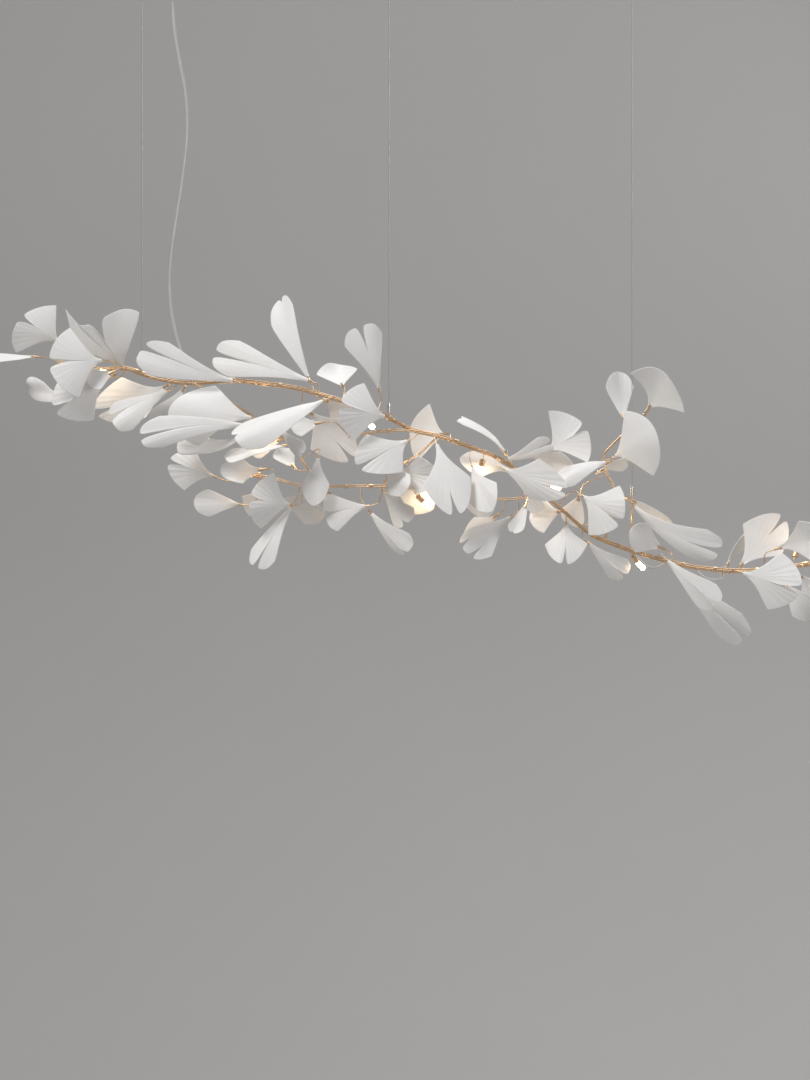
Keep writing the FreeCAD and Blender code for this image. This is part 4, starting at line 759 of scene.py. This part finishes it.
class FinishSettings(bpy.types.PropertyGroup):
    porcelain: FloatVectorProperty(name="Porcelain", description="Colour of the leaves",
                                   subtype="COLOR", default=(0.90, 0.885, 0.865))
    brass: FloatVectorProperty(name="Brass", description="Colour of rods, rings and holders",
                               subtype="COLOR", default=(0.80, 0.57, 0.36))
    steel: FloatVectorProperty(name="Steel", description="Colour of the wires",
                               subtype="COLOR", default=(0.50, 0.50, 0.51))
    sheath: FloatVectorProperty(name="Sheath", description="Colour of the power cord",
                                subtype="COLOR", default=(0.56, 0.55, 0.54))
    lead: FloatVectorProperty(name="Leads", description="Colour of the leads on the branch",
                              subtype="COLOR", default=(0.82, 0.81, 0.79))
    glow: FloatVectorProperty(name="Glow", description="Colour of the bulbs' light",
                              subtype="COLOR", default=(1.0, 0.74, 0.45))
    glow_strength: FloatProperty(name="Glow strength", description="Strength of that light",
                                 default=26.0, min=0.0)


class StageSettings(bpy.types.PropertyGroup):
    backdrop: FloatVectorProperty(name="Backdrop", description="Colour of floor and backdrop",
                                  subtype="COLOR", default=(0.46, 0.45, 0.44))
    distance: FloatProperty(name="Camera distance", description="Camera to the branch",
                            default=12.0, subtype="DISTANCE", unit="LENGTH")
    height: FloatProperty(name="Camera height", description="Camera's height above the ceiling",
                          default=-1.130, subtype="DISTANCE", unit="LENGTH")
    lens: FloatProperty(name="Lens", description="Focal length in millimetres", default=200.0)


# ---------------------------------------------------------------- operators

class CHANDELIER_OT_stage(bpy.types.Operator):
    """Camera, pale floor that sweeps up into a backdrop, and soft lamps"""
    bl_idname = "chandelier.stage"
    bl_label = "Stage"

    def execute(self, context):
        settings = context.scene.chandelier_stage
        camera = bpy.data.objects.new("camera", bpy.data.cameras.new("camera"))
        context.scene.collection.objects.link(camera)
        camera.data.sensor_width = 36.0
        camera.data.lens = settings.lens
        camera.data.clip_end = 100.0
        camera.location = (CAMERA_X, -settings.distance, settings.height)
        camera.rotation_euler = (math.radians(90), 0, 0)
        context.scene.camera = camera
        color = tuple(settings.backdrop)
        self.floor(color)
        self.lamps(context)
        self.surroundings(context, color)
        context.scene.view_settings.view_transform = "Standard"
        return {"FINISHED"}

    def floor(self, color):
        """Sweep: flat floor, a quarter circle and a wall, carried straight along X."""
        angle = np.linspace(0, math.pi / 2, 24)
        run = WALL_PLACE - WALL_BEND + WALL_BEND * np.sin(angle)
        rise = FLOOR_LEVEL + WALL_BEND - WALL_BEND * np.cos(angle)
        run = np.concatenate([[-SHEET_REACH], run, [WALL_PLACE]])
        rise = np.concatenate([[FLOOR_LEVEL], rise, [WALL_TOP]])
        wide = np.array((-SHEET_REACH, SHEET_REACH))
        points = np.stack(np.broadcast_arrays(wide[None, :], run[:, None], rise[:, None]), -1)
        item = make_object("floor", points.reshape(-1, 3), grid_quads(len(run), 2))
        dress(item, backdrop_paper(color))

    def lamps(self, context):
        for name, spot, size, power, color in STUDIO_LAMPS:
            data = bpy.data.lights.new(name, "AREA")
            data.shape = "DISK"
            data.size = size
            data.energy = power
            data.color = color
            lamp = bpy.data.objects.new(name, data)
            context.scene.collection.objects.link(lamp)
            lamp.location = spot
            heading = Vector(LAMP_AIM) - Vector(spot)
            lamp.rotation_mode = "QUATERNION"
            lamp.rotation_quaternion = heading.to_track_quat("-Z", "Y")
            lamp.visible_camera = False

    def surroundings(self, context, color):
        """Even light all round, seen by the camera and in reflections as the backdrop."""
        world = bpy.data.worlds.new("studio")
        context.scene.world = world
        world.use_nodes = True
        tree = world.node_tree
        light = tree.nodes["Background"]
        light.inputs["Color"].default_value = SKY_COLOR
        light.inputs["Strength"].default_value = SKY_STRENGTH
        seen = add_node(tree, "ShaderNodeBackground", {"Color": (*shade(color, FAR_SHADE), 1.0)})
        tree.links.new(mixed(tree, seen_rays(tree), light.outputs[0], seen.outputs[0]),
                       tree.nodes["World Output"].inputs["Surface"])


class CHANDELIER_OT_cords(bpy.types.Operator):
    """Power cord from the rose to its joiner, and the short leads on the branch"""
    bl_idname = "chandelier.cords"
    bl_label = "Cords"

    def execute(self, context):
        finish = context.scene.chandelier_finish
        material = finish_material("cord_sheath", tuple(finish.sheath),
                                   shade(finish.sheath, 0.9), (0.45, 0.6), mottle=60.0,
                                   grain=1400.0, bump=0.08)
        pale = finish_material("pale_lead_sheath", tuple(finish.lead),
                               shade(finish.lead, 0.93), (0.3, 0.45), mottle=60.0,
                               grain=1400.0, bump=0.05)
        route = place(POWER_CORD)
        line = self.smooth_line("power_cord_line", route)
        points, quads = capped(tube(line, CORD_RADIUS, 20))
        cord = dress(make_object("power_cord_sheath", points, quads, weld=1e-6), material)
        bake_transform(cord)
        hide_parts("power_cord")
        for number, points in enumerate(LEADS):
            name = "lead_%d" % number
            line = self.smooth_line(name + "_line", np.array(points, float))
            shape, quads = capped(tube(line, LEAD_RADIUS, 16))
            lead = dress(make_object(name, shape, quads, weld=1e-6), pale)
            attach(lead, "lamp")
            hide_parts("lamp_leads")
        return {"FINISHED"}

    def smooth_line(self, name, route):
        """Points in mm of the NURBS line whose control points are the route."""
        curve = bpy.data.curves.new(name, "CURVE")
        curve.dimensions = "3D"
        curve.resolution_u = 24
        spline = curve.splines.new("NURBS")
        spline.points.add(len(route) - 1)
        spline.points.foreach_set("co", np.c_[route * MM, np.ones(len(route))].ravel())
        spline.order_u = 3
        spline.use_endpoint_u = True
        holder = bpy.data.objects.new(name, curve)
        bpy.context.scene.collection.objects.link(holder)
        mesh = bpy.data.meshes.new_from_object(holder)
        line = np.empty(len(mesh.vertices) * 3)
        mesh.vertices.foreach_get("co", line)
        bpy.data.objects.remove(holder)
        bpy.data.meshes.remove(mesh)
        return line.reshape(-1, 3) / MM


class CHANDELIER_OT_leaves(bpy.types.Operator):
    """Porcelain ginkgo leaves, one object for each group of leaves"""
    bl_idname = "chandelier.leaves"
    bl_label = "Leaves"

    def execute(self, context):
        settings = context.scene.chandelier_leaf
        material = porcelain(context.scene.chandelier_finish)
        number = 0
        for node, rows in LEAVES.items():
            shells = [leaf_shell(row, number + step, settings) for step, row in enumerate(rows)]
            number += len(rows)
            points, faces = joined([shell[:2] for shell in shells])
            maps = np.concatenate([shell[2] for shell in shells])
            tones = np.concatenate([shell[3] for shell in shells])
            item = make_object(node.replace("leaves", "porcelain"), points, faces, weld=4e-6,
                               maps=maps, layers={"leaf_tone": tones})
            dress(item, material)
            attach(item, "lamp")
            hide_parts(node)
        return {"FINISHED"}


class CHANDELIER_OT_lamps(bpy.types.Operator):
    """Glowing capsule bulbs in their brass holders"""
    bl_idname = "chandelier.lamps"
    bl_label = "Lamps"

    def execute(self, context):
        glass = lit_glass(context.scene.chandelier_finish)
        tip = BULB_STRAIGHT + BULB_RADIUS
        dome = [(BULB_STRAIGHT + BULB_RADIUS * math.sin(turn), BULB_RADIUS * math.cos(turn))
                for turn in np.linspace(0, math.pi / 2, 10)]
        profile = [(0.05, 0.0), (0.05, 4.6), (0.4, 4.95), (10.0, 4.97), *dome[:-1],
                   (tip - 0.05, 0.9), (tip, 0.0)]
        shapes = []
        for foot, aim in LAMPS:
            heading = unit(np.array((aim[0], aim[1], -aim[2]), float))
            shapes.append(turned_shape(profile, place(foot) + heading * BULB_FOOT, heading, 28))
        points, faces = joined(shapes)
        item = dress(make_object("bulb_capsules", points, faces, weld=1e-6), glass)
        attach(item, "lamp")
        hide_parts("bulbs")
        return {"FINISHED"}


class CHANDELIER_OT_wires(bpy.types.Operator):
    """Stranded steel wires between the ceiling anchors and the grippers"""
    bl_idname = "chandelier.wires"
    bl_label = "Wires"

    def execute(self, context):
        finish = context.scene.chandelier_finish
        material = finish_material("bright_steel_wire", tuple(finish.steel),
                                   shade(finish.steel, 0.8), (0.25, 0.4), metallic=1.0,
                                   mottle=300.0, grain=3000.0, bump=0.05)
        radii = np.full(WIRE_POINTS, WIRE_RADIUS)
        radii[[0, -1]] = WIRE_END
        for side in ("left", "middle", "right"):
            low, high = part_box("wire_" + side)
            x, y = (low.x + high.x) / 2 / MM, (low.y + high.y) / 2 / MM
            steps = np.linspace(high.z / MM - WIRE_GAP, low.z / MM, WIRE_POINTS)
            path = np.stack(np.broadcast_arrays(x, y, steps), 1)
            points, quads = capped(tube(path, radii, 24, lobes=STRANDS, relief=STRAND_RELIEF,
                                        pitch=STRAND_PITCH))
            item = make_object("stranded_wire_" + side, points, quads, weld=1e-6)
            dress(item, material)
            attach(item, "wire_body_" + side)
            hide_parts("wire_" + side)
            dress(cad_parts["wire_ball_" + side], material)
        return {"FINISHED"}


class CHANDELIER_OT_metalwork(bpy.types.Operator):
    """Finishes of rods, rings, sockets, grippers and what is screwed to the ceiling"""
    bl_idname = "chandelier.metalwork"
    bl_label = "Metalwork"

    def execute(self, context):
        finish = context.scene.chandelier_finish
        brass = finish_material("drawn_brass", tuple(finish.brass), shade(finish.brass, 0.93),
                                (0.24, 0.34), metallic=1.0, mottle=25.0, grain=2500.0,
                                bump=0.02)
        nickel = finish_material("nickel_plate", (0.72, 0.70, 0.67), (0.64, 0.62, 0.6),
                                 (0.12, 0.25), metallic=1.0, mottle=120.0, grain=1500.0,
                                 bump=0.04)
        zinc = finish_material("zinc_plate", (0.62, 0.63, 0.64), (0.5, 0.52, 0.55),
                               (0.35, 0.5), metallic=1.0, mottle=160.0, bump=0.1)
        paint = finish_material("powder_coat", (0.85, 0.85, 0.84), (0.82, 0.82, 0.815),
                                (0.42, 0.52), mottle=30.0, grain=2200.0, bump=0.18)
        plastic = finish_material("white_plastic", (0.83, 0.83, 0.82), (0.79, 0.79, 0.775),
                                  (0.35, 0.48), mottle=80.0, grain=1800.0, bump=0.06)
        groups = (
            (brass, ("main_branch", "front_branch", "lower_branch", "riser_branch", "twigs",
                     "branch_collars", "leaf_stems", "leaf_sockets", "lampholders",
                     "wire_hanger")),
            (nickel, ("wire_gripper", "release_sleeve", "anchor_cap", "socket_screws",
                      "rose_screws")),
            (zinc, ("ceiling_anchor", "rose_bracket")),
            (paint, ("rose_cover",)),
            (plastic, ("rose_cord_grip", "cord_joiner", "terminal_block")),
        )
        for material, starts in groups:
            for name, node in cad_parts.items():
                if name.startswith(starts):
                    dress(node, material)
        return {"FINISHED"}


class CHANDELIER_PT_panel(bpy.types.Panel):
    bl_idname = "CHANDELIER_PT_panel"
    bl_label = "Branch chandelier"
    bl_space_type = "VIEW_3D"
    bl_region_type = "UI"
    bl_category = "Chandelier"

    def draw(self, context):
        for settings in (context.scene.chandelier_leaf, context.scene.chandelier_finish,
                         context.scene.chandelier_stage):
            box = self.layout.box()
            for key in settings.bl_rna.properties.keys():
                if key not in ("name", "rna_type"):
                    box.prop(settings, key)
        for operator in OPERATORS:
            self.layout.operator(operator.bl_idname)


OPERATORS = (CHANDELIER_OT_stage, CHANDELIER_OT_cords, CHANDELIER_OT_leaves,
             CHANDELIER_OT_lamps, CHANDELIER_OT_wires, CHANDELIER_OT_metalwork)
CLASSES = (LeafSettings, FinishSettings, StageSettings, *OPERATORS, CHANDELIER_PT_panel)


def register():
    for item in CLASSES:
        bpy.utils.register_class(item)
    bpy.types.Scene.chandelier_leaf = PointerProperty(type=LeafSettings)
    bpy.types.Scene.chandelier_finish = PointerProperty(type=FinishSettings)
    bpy.types.Scene.chandelier_stage = PointerProperty(type=StageSettings)


def unregister():
    del bpy.types.Scene.chandelier_stage
    del bpy.types.Scene.chandelier_finish
    del bpy.types.Scene.chandelier_leaf
    for item in reversed(CLASSES):
        bpy.utils.unregister_class(item)


def main():
    """Runs every stage in order."""
    register()
    bpy.ops.chandelier.stage()
    bpy.ops.chandelier.cords()
    bpy.ops.chandelier.leaves()
    bpy.ops.chandelier.lamps()
    bpy.ops.chandelier.wires()
    bpy.ops.chandelier.metalwork()


if __name__ == "__main__":
    main()
